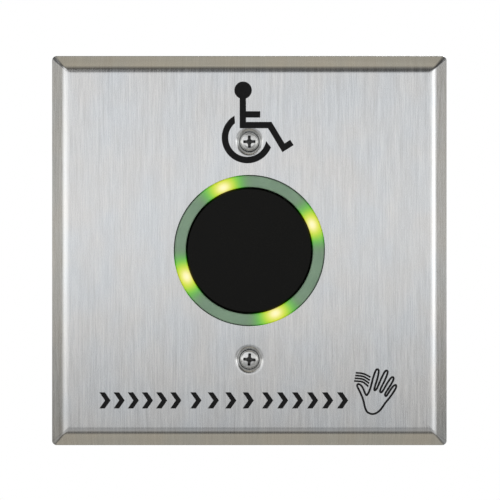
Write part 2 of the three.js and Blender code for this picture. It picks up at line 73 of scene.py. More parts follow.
PLATE_LOW, PLATE_HIGH = span("faceplate")
PLATE_WIDTH = PLATE_HIGH.x - PLATE_LOW.x
PLATE_HEIGHT = PLATE_HIGH.z - PLATE_LOW.z
PLATE_FRONT = PLATE_LOW.y
SHEET = 1.5
PLATE_INSIDE = PLATE_FRONT + SHEET
HOLE_RADIUS = 21.95

SLOT_OF = {part["node"]: part["material_slot"] for part in frame["record"]["subparts"]}
BODY_OF = {node: body for body, nodes in frame["record"]["behaviour"]["bodies"].items() for node in nodes}

SCREW_Z = (span("face_screw_upper")[0].z + span("face_screw_upper")[1].z) / 2
RING_FRONT = span("light_ring")[0].y
RING_BACK = span("light_ring")[1].y
LED_ANGLE = math.radians(22.5)

TRIMMER_BODIES = [middle(f"{name}_trimmer_body") for name in ("range", "delay")]
TRIMMERS = [(body.x, body.z) for body in TRIMMER_BODIES]
SWITCH_X, SWITCH_Z = middle("mode_switch_body").x, middle("mode_switch_body").z
SOUNDER_X, SOUNDER_Z = middle("sounder").x, middle("sounder").z


# ---------------------------------------------------------------- outlines

def arc(cx, cz, radius, start, end, steps):
    """Points along an arc, with angles in degrees."""
    angles = [math.radians(start + (end - start) * i / steps) for i in range(steps + 1)]
    return [(cx + radius * math.cos(a), cz + radius * math.sin(a)) for a in angles]


def circle(radius, x=0.0, z=0.0, sides=64):
    return arc(x, z, radius, 0, 360 * (sides - 1) / sides, sides - 1)


def rounded_rectangle(width, height, radius, x=0.0, z=0.0, steps=8):
    w, h = width / 2 - radius, height / 2 - radius
    return (
        arc(x + w, z + h, radius, 0, 90, steps)
        + arc(x - w, z + h, radius, 90, 180, steps)
        + arc(x - w, z - h, radius, 180, 270, steps)
        + arc(x + w, z - h, radius, 270, 360, steps)
    )


def pill(x0, z0, x1, z1, width, steps=8):
    """A straight bar with round ends."""
    heading = math.degrees(math.atan2(z1 - z0, x1 - x0))
    return arc(x1, z1, width / 2, heading - 90, heading + 90, steps) + arc(
        x0, z0, width / 2, heading + 90, heading + 270, steps
    )


def filleted(points, radii, steps=6):
    """A polyline with its inner corners rounded: radii has one radius for each corner between the ends."""
    out = [points[0]]
    for before, corner, after, radius in zip(points, points[1:], points[2:], radii):
        b, c, a = Vector(before), Vector(corner), Vector(after)
        one, two = (b - c).normalized(), (a - c).normalized()
        half = one.angle(two) / 2
        reach = min(radius / math.tan(half), 0.49 * (b - c).length, 0.49 * (a - c).length)
        if reach < 1e-4:
            out.append(corner)
            continue
        centre = c + (one + two).normalized() * (reach / math.cos(half))
        start, end = c + one * reach, c + two * reach
        for i in range(steps + 1):
            spoke = (start - centre).lerp(end - centre, i / steps)
            spoke = spoke.normalized() * (start - centre).length
            out.append(tuple(centre + spoke))
    out.append(points[-1])
    return out


def turned_profile(points, edge=0.12, steps=3):
    """A lathe profile with every inner corner eased by the same small radius."""
    return filleted(points, [edge] * (len(points) - 2), steps)


# ---------------------------------------------------------------- raw meshes, as (points, faces)

def lathe(profile, x=0.0, z=0.0, sides=64):
    """A profile of (radius, y) turned about a line along Y. It starts and ends on the line, or closes."""
    points, rings = [], []
    for radius, y in profile:
        if radius < 1e-6:
            rings.append([len(points)] * sides)
            points.append((x, y, z))
            continue
        rings.append(list(range(len(points), len(points) + sides)))
        points += [(cx, y, cz) for cx, cz in circle(radius, x, z, sides)]
    faces = []
    for near, far in zip(rings, rings[1:]):
        for i in range(sides):
            k = (i + 1) % sides
            corners = list(dict.fromkeys((near[i], near[k], far[k], far[i])))
            if len(corners) > 2:
                faces.append(corners)
    return points, faces


def closed_lathe(profile, x=0.0, z=0.0, sides=64):
    return lathe([*profile, profile[0]], x, z, sides)


def prism(outline, y0, y1):
    """An outline of (x, z) pulled from y0 to y1."""
    n = len(outline)
    points = [(x, y0, z) for x, z in outline] + [(x, y1, z) for x, z in outline]
    faces = [list(range(n)), list(range(2 * n - 1, n - 1, -1))]
    faces += [[i, (i + 1) % n, n + (i + 1) % n, n + i] for i in range(n)]
    return points, faces


def block(x0, x1, y0, y1, z0, z1):
    return prism([(x0, z0), (x1, z0), (x1, z1), (x0, z1)], y0, y1)


def bar(radius, y0, y1, x=0.0, z=0.0, sides=32):
    return prism(circle(radius, x, z, sides), y0, y1)


def tapered(outline, y0, y1, scale, x=0.0, z=0.0):
    """An outline about a centre that shrinks or grows by scale between y0 and y1."""
    points, faces = prism(outline, y0, y1)
    n = len(outline)
    far = [(x + (px - x) * scale, y, z + (pz - z) * scale) for px, y, pz in points[n:]]
    return points[:n] + far, faces


def threaded(radius, y0, y1, pitch, x=0.0, z=0.0, depth=0.22, sides=24, rows=6):
    """A screw's shank: a surface whose radius follows a helix, closed by a point and a flat end."""
    count = int((y1 - y0) / pitch * rows)
    points = [(x, y0, z)]
    for row in range(count + 1):
        y = y0 + (y1 - y0) * row / count
        end = min(1.0, (y1 - y) / (1.5 * pitch))
        for i in range(sides):
            turn = (y - y0) / pitch - i / sides
            groove = 2 * abs(turn - math.floor(turn) - 0.5)
            r = (radius - depth * (1 - groove)) * (0.72 + 0.28 * end)
            a = TAU * i / sides
            points.append((x + r * math.cos(a), y, z + r * math.sin(a)))
    tip = len(points)
    points.append((x, y1, z))
    faces = [[0, 1 + i, 1 + (i + 1) % sides] for i in range(sides)]
    for row in range(count):
        a, b = 1 + row * sides, 1 + (row + 1) * sides
        faces += [[a + i, b + i, b + (i + 1) % sides, a + (i + 1) % sides] for i in range(sides)]
    last = 1 + count * sides
    faces += [[last + (i + 1) % sides, last + i, tip] for i in range(sides)]
    return points, faces


def merged(*parts):
    """Several raw meshes as one."""
    points, faces = [], []
    for more_points, more_faces in parts:
        base = len(points)
        points += more_points
        faces += [[base + i for i in face] for face in more_faces]
    return points, faces


# ---------------------------------------------------------------- objects

def raw_object(name, raw):
    points, faces = raw
    mesh = bpy.data.meshes.new(name)
    mesh.from_pydata([Vector(p) * MM for p in points], [], faces)
    work = bmesh.new()
    work.from_mesh(mesh)
    bmesh.ops.remove_doubles(work, verts=work.verts, dist=1e-7)
    bmesh.ops.recalc_face_normals(work, faces=work.faces)
    work.to_mesh(mesh)
    work.free()
    made = bpy.data.objects.new(name, mesh)
    bpy.context.scene.collection.objects.link(made)
    return made


def settle(made):
    """Applies a piece's modifiers to its mesh."""
    bpy.context.view_layer.update()
    shown = made.evaluated_get(bpy.context.evaluated_depsgraph_get())
    mesh = bpy.data.meshes.new_from_object(shown)
    mesh.name = made.name
    old = made.data
    made.modifiers.clear()
    made.data = mesh
    bpy.data.meshes.remove(old)
    return made


def combine(made, tools, operation):
    """Joins raw meshes to a piece, or cuts them from it."""
    for raw in tools:
        apply_tool(made, raw_object("tool", raw), operation)
    return made


def apply_tool(made, tool, operation):
    """Joins another object to a piece or cuts it from it, and removes that object."""
    step = made.modifiers.new("apply", "BOOLEAN")
    step.object = tool
    step.operation = operation
    step.solver = "EXACT"
    settle(made)
    mesh = tool.data
    bpy.data.objects.remove(tool)
    bpy.data.meshes.remove(mesh)
    return made


CROWDED = 7  # a face with this many sides or more is cut into triangles where ease is told to split


def ease(made, width, segments=2, angle=32, split=False):
    """Rounds a piece's edges by a width in millimetres.

    Where many holes crowd one face, easing can fold it over itself, and splitting it first prevents that.
    """
    if split:
        made.modifiers.new("split", "TRIANGULATE").min_vertices = CROWDED
    step = made.modifiers.new("ease", "BEVEL")
    step.width = width * MM
    step.segments = segments
    step.limit_method = "ANGLE"
    step.angle_limit = math.radians(angle)
    step.use_clamp_overlap = True
    return settle(made)


def smooth(made, sharp=38):
    """Smooth shading that keeps edges over an angle sharp and flat faces flat."""
    mesh = made.data
    mesh.polygons.foreach_set("use_smooth", [True] * len(mesh.polygons))
    mesh.set_sharp_from_angle(angle=math.radians(sharp))
    weigh = made.modifiers.new("weigh", "WEIGHTED_NORMAL")
    weigh.keep_sharp = True
    return settle(made)


def finish_piece(made, material, body=ROOT, sharp=38):
    """Gives a piece its material and slot, and puts it on its body."""
    smooth(made, sharp)
    made.data.materials.clear()
    made.data.materials.append(material)
    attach(made, body)
    return made


# ---------------------------------------------------------------- material helpers

class Finish:
    """A procedural material: a Principled shader and short calls for the nodes that drive it."""

    def __init__(self, name, color, roughness, metallic=0.0, **sockets):
        self.material = bpy.data.materials.new(name)
        self.material.use_nodes = True
        self.tree = self.material.node_tree
        self.surface = self.tree.nodes["Principled BSDF"]
        values = {"Base Color": (*color, 1.0), "Roughness": roughness, "Metallic": metallic}
        values.update({key.replace("_", " "): value for key, value in sockets.items()})
        for key, value in values.items():
            self.surface.inputs[key].default_value = value
        self.where = self.node("ShaderNodeTexCoord").outputs["Object"]

    def node(self, kind, inputs=None, **settings):
        made = self.tree.nodes.new(kind)
        for key, value in settings.items():
            setattr(made, key, value)
        for key, value in (inputs or {}).items():
            if isinstance(value, bpy.types.NodeSocket):
                self.tree.links.new(value, made.inputs[key])
            else:
                made.inputs[key].default_value = value
        return made

    def drive(self, socket, value):
        self.tree.links.new(value, self.surface.inputs[socket])
        return self

    def scaled(self, x, y, z):
        """Object coordinates in units of the given lengths, in millimetres."""
        scale = (1 / (x * MM), 1 / (y * MM), 1 / (z * MM))
        return self.node("ShaderNodeMapping", {"Vector": self.where, "Scale": scale}).outputs[0]

    def noise(self, x, y=None, z=None, detail=2.0, rough=0.5):
        """Smooth noise with grains of about that size in millimetres."""
        vector = self.scaled(x, y or x, z or x)
        made = self.node("ShaderNodeTexNoise", {"Vector": vector, "Scale": 1.0, "Detail": detail})
        made.inputs["Roughness"].default_value = rough
        return made.outputs["Fac"]

    def cells(self, size):
        """Distance from the middle of random cells of about that size in millimetres."""
        vector = self.scaled(size, size, size)
        return self.node("ShaderNodeTexVoronoi", {"Vector": vector, "Scale": 1.0}).outputs["Distance"]

    def math(self, operation, a, b=0.0, clamp=False):
        return self.node("ShaderNodeMath", {0: a, 1: b}, operation=operation, use_clamp=clamp).outputs[0]

    def spread(self, value, low, high, start=0.3, end=0.7):
        """A value from start to end, stretched to low to high."""
        return self.node(
            "ShaderNodeMapRange",
            {"Value": value, "From Min": start, "From Max": end, "To Min": low, "To Max": high},
        ).outputs[0]

    def ramp(self, factor, *stops):
        """A colour for a factor: each stop is (place, (r, g, b))."""
        made = self.node("ShaderNodeValToRGB", {"Fac": factor})
        elements = made.color_ramp.elements
        while len(elements) < len(stops):
            elements.new(1.0)
        for element, (place, color) in zip(elements, stops):
            element.position = place
            element.color = (*color, 1.0)
        return made.outputs["Color"]

    def mix(self, factor, a, b, blend="MIX"):
        made = self.node("ShaderNodeMix", data_type="RGBA", blend_type=blend)
        for socket, value in ((made.inputs[0], factor), (made.inputs[6], a), (made.inputs[7], b)):
            if isinstance(value, bpy.types.NodeSocket):
                self.tree.links.new(value, socket)
            else:
                socket.default_value = value if isinstance(value, float) else (*value, 1.0)
        return made.outputs[2]

    def bump(self, height, depth, strength=1.0):
        """Surface relief of about that depth in millimetres."""
        made = self.node("ShaderNodeBump", {"Height": height, "Distance": depth * MM, "Strength": strength})
        return self.drive("Normal", made.outputs["Normal"])


def tinted(color, by):
    """A colour made lighter or darker."""
    return tuple(min(1.0, max(0.0, c * by)) for c in color)


# ---------------------------------------------------------------- materials

def brushed_steel():
    """Stainless sheet with a fine vertical grain: streaks in tone, in gloss and in relief."""
    made = Finish("brushed_stainless", (0.6, 0.6, 0.6), 0.27, 1.0, Anisotropic=0.75)
    grain = made.noise(0.32, 30.0, 9.0, detail=3.0, rough=0.7)
    streaks = made.noise(1.1, 60.0, 38.0, detail=4.0, rough=0.7)
    clouds = made.noise(11.0, 60.0, 16.0, detail=2.0)
    both = made.math("ADD", made.math("MULTIPLY", grain, 0.6), made.math("MULTIPLY", streaks, 0.4))
    tone = made.ramp(
        both,
        (0.3, (0.5, 0.5, 0.495)),
        (0.5, (0.6, 0.603, 0.605)),
        (0.7, (0.71, 0.71, 0.7)),
    )
    warmth = made.ramp(clouds, (0.35, (1.0, 0.985, 0.965)), (0.65, (0.965, 0.985, 1.0)))
    made.drive("Base Color", made.mix(1.0, tone, warmth, "MULTIPLY"))
    made.drive("Roughness", made.spread(both, 0.22, 0.32))
    made.drive("Tangent", made.node("ShaderNodeTangent", direction_type="RADIAL", axis="Z").outputs[0])
    return made.bump(grain, 0.004, 0.35).material


def screw_steel():
    """Bright passivated screw steel with faint tool marks."""
    made = Finish("screw_steel", (0.7, 0.7, 0.68), 0.16, 1.0)
    marks = made.noise(0.5, detail=4.0, rough=0.7)
    made.drive("Base Color", made.ramp(marks, (0.35, (0.58, 0.58, 0.56)), (0.65, (0.76, 0.76, 0.74))))
    made.drive("Roughness", made.spread(marks, 0.1, 0.26))
    return made.bump(made.noise(0.12, detail=2.0), 0.004, 0.4).material


def zinc_steel():
    """Zinc-plated steel: a soft spangle, slightly blue and yellow by turns."""
    made = Finish("zinc_steel", (0.56, 0.57, 0.56), 0.36, 1.0)
    spangle = made.cells(1.8)
    haze = made.noise(7.0, detail=3.0)
    tone = made.ramp(haze, (0.3, (0.5, 0.52, 0.54)), (0.5, (0.58, 0.585, 0.58)), (0.7, (0.62, 0.6, 0.53)))
    flakes = made.ramp(spangle, (0.0, (0.7,) * 3), (0.9, (0.42,) * 3))
    made.drive("Base Color", made.mix(0.35, tone, flakes))
    made.drive("Roughness", made.spread(haze, 0.28, 0.46))
    return made.bump(made.noise(0.35, detail=3.0), 0.008, 0.4).material


def moulded_plastic(name, color, roughness=0.5, texture=0.35, relief=0.015):
    """A moulding: spark-eroded texture, and slow changes of tone and gloss."""
    made = Finish(name, color, roughness)
    tone = made.noise(9.0, detail=3.0)
    pits = made.noise(texture, detail=2.0, rough=0.6)
    made.drive(
        "Base Color",
        made.ramp(tone, (0.3, tinted(color, 0.8)), (0.7, tinted(color, 1.22))),
    )
    made.drive("Roughness", made.spread(pits, roughness - 0.09, roughness + 0.1))
    return made.bump(pits, relief, 0.6).material


def foam():
    """Closed-cell foam: a cut face full of small round cells."""
    made = Finish("foam", (0.03, 0.03, 0.032), 0.92)
    cells = made.cells(0.45)
    made.drive("Base Color", made.ramp(cells, (0.05, (0.008,) * 3), (0.6, (0.05, 0.05, 0.052))))
    return made.bump(cells, 0.12, 0.8).material


def window_plastic():
    """Black filter plastic: smooth and glossy, with a faint haze of fine scratches."""
    made = Finish("infrared_window", (0.004, 0.004, 0.0035), 0.22, Specular_IOR_Level=0.1)
    haze = made.noise(5.0, detail=4.0, rough=0.6)
    hairs = made.noise(0.2, 0.2, 6.0, detail=2.0)
    made.drive("Base Color", made.ramp(haze, (0.3, (0.003, 0.003, 0.0022)), (0.7, (0.005, 0.0048, 0.004))))
    made.drive("Roughness", made.spread(haze, 0.2, 0.3))
    return made.bump(hairs, 0.001, 0.3).material


def ring_diffuser():
    """A milky ring, lit from behind at each lamp: nearly white in the middle, then yellow, then green, with
    a painted glow in its base colour as well.
    """
    made = Finish("ring_diffuser", (0.23, 0.35, 0.24), 0.34, Specular_IOR_Level=0.3)
    axes = made.node("ShaderNodeSeparateXYZ", {"Vector": made.where})
    x, z = axes.outputs["X"], axes.outputs["Z"]
    radius = made.math("SQRT", made.math("ADD", made.math("MULTIPLY", x, x), made.math("MULTIPLY", z, z)))
    angle = made.math("SUBTRACT", made.math("ARCTAN2", z, x), LED_ANGLE)
    quarter = made.math("DIVIDE", angle, math.pi / 2)
    off_lamp = made.math("SUBTRACT", quarter, made.math("ROUND", quarter))
    away = made.math("MULTIPLY", made.math("ABSOLUTE", off_lamp), 90.0)
    off_middle = made.math("DIVIDE", made.math("SUBTRACT", radius, 19.75 * MM), MM)

    def glow(along, across, steep):
        """One at the middle of a lamp's glow, falling off over degrees along and millimetres across."""
        a = made.math("DIVIDE", away, along)
        r = made.math("DIVIDE", off_middle, across)
        square = made.math("ADD", made.math("MULTIPLY", a, a), made.math("MULTIPLY", r, r))
        return made.math("EXPONENT", made.math("MULTIPLY", made.math("POWER", square, steep), -1.0))

    dark = (0.0, 0.0, 0.0)
    green = made.mix(glow(16.0, 6.0, 1.8), dark, (0.0, 0.54, 0.0))
    yellow = made.mix(glow(11.0, 3.4, 1.7), dark, (0.64, 0.0, 0.0))
    core = made.mix(glow(5.2, 1.25, 1.0), dark, (0.3, 0.2, 0.52))
    made.drive("Emission Color", made.mix(1.0, made.mix(1.0, green, yellow, "ADD"), core, "ADD"))
    made.surface.inputs["Emission Strength"].default_value = 1.0
    haze = made.noise(4.0, detail=3.0)
    body = made.ramp(haze, (0.3, (0.21, 0.325, 0.225)), (0.7, (0.245, 0.37, 0.255)))
    # painted light: the base colour is lighter round each lamp, a painted glow beside the emitted one
    lit = made.mix(glow(18.0, 7.0, 1.6), body, (0.15, 0.3, 0.04))
    # painted shade: the base colour goes nearly black on the ring's inner wall, where shade falls between
    # ring and window
    wall = made.spread(radius, 0.0, 1.0, 18.35 * MM, 18.6 * MM)
    made.drive("Base Color", made.mix(wall, (0.012, 0.035, 0.01), lit))
    made.drive("Roughness", made.spread(haze, 0.28, 0.4))
    return made.material


def ink():
    """Screen-printed enamel, nearly black and a little uneven."""
    made = Finish("printed_ink", (0.012, 0.012, 0.013), 0.5, Specular_IOR_Level=0.06)
    patches = made.noise(0.7, detail=3.0)
    made.drive("Base Color", made.ramp(patches, (0.3, (0.01,) * 3), (0.7, (0.015, 0.015, 0.016))))
    made.drive("Roughness", made.spread(patches, 0.45, 0.6))
    return made.bump(patches, 0.006, 0.4).material


def circuit_board():
    """Solder mask over copper: bundles of tracks run up or across by turns, between bare round pads."""
    made = Finish("circuit_board", (0.02, 0.14, 0.05), 0.3)
    axes = made.node("ShaderNodeSeparateXYZ", {"Vector": made.where})
    patch = made.node("ShaderNodeTexVoronoi", {"Vector": made.scaled(8.0, 8.0, 6.0), "Scale": 1.0})
    choice = made.node("ShaderNodeSeparateColor", {"Color": patch.outputs["Color"]}).outputs["Red"]

    def tracks(along, pitch):
        wave = made.math("SINE", made.math("MULTIPLY", axes.outputs[along], TAU / (pitch * MM)))
        return made.spread(wave, 0.0, 1.0, 0.2, 0.45)

    across_or_up = made.mix(made.spread(choice, 0.0, 1.0, 0.49, 0.5), tracks("X", 1.1), tracks("Z", 1.3))
    copper = made.math("MULTIPLY", across_or_up, made.spread(choice, 0.0, 1.0, 0.24, 0.25))
    pads = made.spread(made.cells(2.6), 1.0, 0.0, 0.13, 0.17)
    mask = made.mix(copper, (0.012, 0.1, 0.035), (0.03, 0.2, 0.065))
    made.drive("Base Color", made.mix(pads, mask, (0.62, 0.58, 0.5)))
    made.drive("Metallic", pads)
    return made.bump(copper, 0.03, 0.5).material


def soft_metal(name, dark, light, roughness, size=1.2):
    """Plated or bare metal with stains and fine working marks."""
    made = Finish(name, light, roughness, 1.0)
    stains = made.noise(size, detail=4.0, rough=0.6)
    made.drive("Base Color", made.ramp(stains, (0.3, dark), (0.7, light)))
    made.drive("Roughness", made.spread(stains, roughness - 0.08, roughness + 0.14))
    return made.bump(made.noise(0.15, detail=2.0), 0.006, 0.5).material


def winding():
    """Enamelled wire wound round a bobbin along Z."""
    made = Finish("copper_winding", (0.6, 0.24, 0.1), 0.3, 1.0)
    turns = made.node(
        "ShaderNodeTexWave",
        {"Vector": made.scaled(1.0, 1.0, 1.0), "Scale": 1.6, "Distortion": 0.25},
        bands_direction="Z",
    ).outputs["Fac"]
    made.drive("Base Color", made.ramp(turns, (0.1, (0.3, 0.09, 0.035)), (0.8, (0.72, 0.31, 0.14))))
    return made.bump(turns, 0.08, 0.8).material


def clear_epoxy(name, color):
    """Moulded lens epoxy, faintly flow-marked."""
    made = Finish(name, color, 0.1, Transmission_Weight=0.55, IOR=1.5)
    marks = made.noise(1.4, detail=3.0)
    made.drive("Base Color", made.ramp(marks, (0.3, tinted(color, 0.88)), (0.7, color)))
    return made.bump(marks, 0.01, 0.3).material


STEEL = brushed_steel()
MILL = soft_metal("mill_steel", (0.36, 0.365, 0.365), (0.5, 0.505, 0.5), 0.44, 2.5)
# A dark steel put on the faces inside screw recesses: painted shade.
RECESS_SHADE = soft_metal("recess_painted_shade", (0.05, 0.05, 0.048), (0.16, 0.16, 0.155), 0.5, 0.6)
SCREW = screw_steel()
ZINC = zinc_steel()
BLACK = moulded_plastic("black_abs", (0.021, 0.022, 0.023), 0.52, 0.42, 0.02)
FOAM = foam()
WINDOW = window_plastic()
RING = ring_diffuser()
INK = ink()
BOARD = circuit_board()
CHIP = moulded_plastic("chip_epoxy", (0.018, 0.019, 0.02), 0.45, 0.12, 0.006)
LED_WHITE = moulded_plastic("led_package", (0.78, 0.8, 0.66), 0.35, 0.5, 0.004)
BRASS = soft_metal("brass", (0.5, 0.31, 0.1), (0.82, 0.58, 0.25), 0.3)
IRON = soft_metal("relay_iron", (0.3, 0.31, 0.32), (0.5, 0.5, 0.49), 0.42)
WINDING = winding()
CLEAR = clear_epoxy("clear_lens", (0.72, 0.78, 0.86))
DARK_LENS = moulded_plastic("dark_lens", (0.02, 0.02, 0.028), 0.18, 0.8, 0.002)
SLEEVE = moulded_plastic("can_sleeve", (0.035, 0.04, 0.055), 0.3, 0.9, 0.004)
AMBER = moulded_plastic("relay_cover", (0.55, 0.27, 0.05), 0.28, 0.9, 0.004)
GREEN = moulded_plastic("terminal_green", (0.025, 0.24, 0.07), 0.42, 0.3, 0.01)
BLUE = moulded_plastic("trimmer_blue", (0.025, 0.09, 0.36), 0.36, 0.3, 0.006)
WHITE = moulded_plastic("white_nylon", (0.72, 0.72, 0.67), 0.42, 0.3, 0.006)
RED = moulded_plastic("switch_red", (0.42, 0.025, 0.018), 0.36, 0.3, 0.006)


LOOKS = {
    "stainless": STEEL, "screw_steel": SCREW, "zinc_steel": ZINC, "foam": FOAM, "ring_diffuser": RING,
    "dark_window": WINDOW, "black_plastic": BLACK, "clear_lens": CLEAR, "dark_lens": DARK_LENS,
    "circuit_board": BOARD, "led_body": LED_WHITE, "chip_plastic": CHIP, "brass": BRASS,
    "canister": SLEEVE, "copper_winding": WINDING, "relay_iron": IRON, "amber_plastic": AMBER,
    "green_plastic": GREEN, "blue_plastic": BLUE, "white_plastic": WHITE, "red_plastic": RED,
}


def belongs(made, node, sharp=38):
    """Finishes a piece with the material, slot and body of a CAD node."""
    slot = SLOT_OF[node]
    return finish_piece(made, LOOKS[slot], body=BODY_OF[node], sharp=sharp)


def stand_in(made, node, sharp=38):
    """A finer piece in a CAD node's place."""
    belongs(made, node, sharp)
    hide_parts(node)
    return made


# ---------------------------------------------------------------- wall plate

BEVEL_FOOT = -1.4  # where the straight skirt ends and the 45 degree bevel starts
BEND_RADIUS = 3.93
DIMPLE_LIP = 4.45


def plate_section():
    """The sheet's section from the front face, round the rim, to the inside, as (inset, y)."""
    apex = BEVEL_FOOT - PLATE_FRONT
    slant = SHEET * math.sqrt(2) + BEVEL_FOOT
    flat = 8.0
    outside = filleted(
        [(flat, PLATE_FRONT), (apex, PLATE_FRONT), (0.0, BEVEL_FOOT), (0.0, 0.0), (SHEET, 0.0)],
        [BEND_RADIUS, 0.7, 0.2],
        14,
    )
    inside = filleted(
        [(SHEET, 0.0), (SHEET, slant - SHEET), (slant - PLATE_INSIDE, PLATE_INSIDE), (flat, PLATE_INSIDE)],
        [0.3, BEND_RADIUS - SHEET],
        8,
    )
    return outside + inside[1:]


def plate_loop(inset, y):
    radius = max(1.35 - 0.2 * inset, 0.55)
    outline = rounded_rectangle(PLATE_WIDTH - 2 * inset, PLATE_HEIGHT - 2 * inset, radius, steps=10)
    return [(x, y, z) for x, z in outline]


def dimple_section():
    """From the plate's front, down the pressed dimple and through it, to the back, as (radius, y)."""
    points = [
        (DIMPLE_LIP, PLATE_FRONT),
        (3.8, PLATE_FRONT + 0.08),
        (3.05, PLATE_FRONT + 0.75),
        (1.95, -3.4),
        (1.95, -2.7),
        (3.5, -2.7),
        (5.4, PLATE_INSIDE),
    ]
    return filleted(points, [1.2, 0.9, 0.1, 0.1, 0.5], 6)


def fill(work, loops):
    """Fills the flat space between closed loops of points."""
    edges = []
    for loop in loops:
        verts = [work.verts.new(Vector(p) * MM) for p in loop]
        edges += [work.edges.new((a, b)) for a, b in zip(verts, verts[1:] + verts[:1])]
    bmesh.ops.triangle_fill(work, use_beauty=True, use_dissolve=False, edges=edges)


def make_faceplate():
    section = plate_section()
    loops = [plate_loop(inset, y) for inset, y in section]
    n = len(loops[0])
    points = [p for loop in loops for p in loop]
    faces = []
    for level in range(len(loops) - 1):
        a, b = level * n, (level + 1) * n
        faces += [[a + i, a + (i + 1) % n, b + (i + 1) % n, b + i] for i in range(n)]
    dimple = dimple_section()
    hole = filleted(
        [(HOLE_RADIUS + 0.2, PLATE_FRONT), (HOLE_RADIUS, PLATE_FRONT), (HOLE_RADIUS, PLATE_INSIDE),
         (HOLE_RADIUS + 0.2, PLATE_INSIDE)],
        [0.12, 0.12],
        4,
    )
    hole_sides, dimple_sides = 192, 64
    dimples = [lathe(dimple, 0.0, sign * SCREW_Z, dimple_sides) for sign in (1, -1)]
    plate = raw_object("wall_plate", merged((points, faces), lathe(hole, sides=hole_sides), *dimples))

    work = bmesh.new()
    work.from_mesh(plate.data)
    for y, edge_loop, dimple_radius in (
        (PLATE_FRONT, loops[0], dimple[0][0]),
        (PLATE_INSIDE, loops[-1], dimple[-1][0]),
    ):
        rounds = [circle(hole[0][0], sides=hole_sides)]
        rounds += [circle(dimple_radius, 0.0, sign * SCREW_Z, dimple_sides) for sign in (1, -1)]
        fill(work, [edge_loop] + [[(x, y, z) for x, z in outline] for outline in rounds])
    bmesh.ops.remove_doubles(work, verts=work.verts, dist=1e-6)
    bmesh.ops.recalc_face_normals(work, faces=work.faces)
    work.to_mesh(plate.data)
    work.free()
    stand_in(plate, "faceplate", sharp=50)
    plate.data.materials.append(MILL)
    for face in plate.data.polygons:
        if not_brushed(face):
            face.material_index = 1


def not_brushed(face):
    """The back of the sheet and its cut edge keep the mill's dull finish."""
    x, _, z = face.center / MM
    across, up = PLATE_WIDTH / 2 - abs(x), PLATE_HEIGHT / 2 - abs(z)
    by_rim = min(across, up) < 8.0
    inwards = face.normal.x * x + face.normal.z * z < 0
    return face.normal.y > 0.05 or (by_rim and inwards and face.normal.y > -0.05)


make_faceplate()


# ---------------------------------------------------------------- screws

def cross_outline(across, arm, corner, x, z, turn):
    """A driver's cross, with the corners between its arms rounded."""
    half, side = across / 2, arm / 2
    points = []
    for k in range(4):
        a = k * math.pi / 2 + turn
        for px, pz in ((half, -side), (half, side), (side, side)):
            points.append((px * math.cos(a) - pz * math.sin(a), px * math.sin(a) + pz * math.cos(a)))
    outline = filleted([points[-1], *points, points[0]], [0.2, 0.2, corner] * 4, 4)[1:-1]
    return [(x + px, z + pz) for px, pz in outline]


def driver_recess(top, toward, across, deep, x, z, turn):
    """The tools that cut a cross recess: its wings, and the tapered hole they meet in."""
    wings = cross_outline(across, across * 0.235, across * 0.11, x, z, turn)
    before = top - 0.3 * toward
    core = [(0, before), (across * 0.24, before), (across * 0.1, top + 1.25 * deep * toward),
            (0, top + 1.4 * deep * toward)]
    return [tapered(wings, before, top + deep * toward, 0.68, x, z), lathe(core, x, z, 32)]


def paint_recess_shade(made, top, toward, across, deep, x, z):
    """Paints shade on the faces inside a recess: they get a dark steel material, a painted shade."""
    made.data.materials.append(RECESS_SHADE)
    for face in made.data.polygons:
        place = face.center / MM
        depth = (place.y - top) * toward
        near = math.hypot(place.x - x, place.z - z) < across * 0.52
        # the faces inside the recess get the painted shade
        if near and 0.17 < depth < 1.5 * deep:
            face.material_index = 1


def cross_screw(node, head, x, z, across, deep, shank, turn=0.0):
    """A screw from its head's profile, from the crown out, and its shank as (radius, from, to, pitch)."""
    top = head[0][1]
    radius, start, end, pitch = shank
    toward = math.copysign(1, end - top)
    neck = [(radius - 0.1, start), (radius - 0.1, start + 1.2 * toward), (0, start + 1.2 * toward)]
    made = raw_object(f"{node}_head", lathe(turned_profile([*head, *neck], 0.16, 4), x, z, 72))
    combine(made, driver_recess(top, toward, across, deep, x, z, turn), "DIFFERENCE")
    stand_in(made, node, sharp=34)
    paint_recess_shade(made, top, toward, across, deep, x, z)
    thread = raw_object(f"{node}_thread", threaded(radius, start + 0.9 * toward, end, pitch * toward, x, z))
    return belongs(thread, node, sharp=60)


HEAD_TOP = span("face_screw_upper")[0].y
FACE_SCREW_END = span("face_screw_upper")[1].y
for name, z, turn in (
    ("face_screw_upper", SCREW_Z, math.radians(1)),
    ("face_screw_lower", -SCREW_Z, math.radians(-4)),
):
    head = [(0, HEAD_TOP), (1.5, HEAD_TOP + 0.03), (2.3, HEAD_TOP + 0.14), (2.72, HEAD_TOP + 0.5),
            (2.78, HEAD_TOP + 0.78), (1.72, -3.25)]
    cross_screw(name, head, 0.0, z, 3.9, 1.15, (1.7, -2.6, FACE_SCREW_END, 0.79), turn)

# ---------------------------------------------------------------- light ring, window and gasket

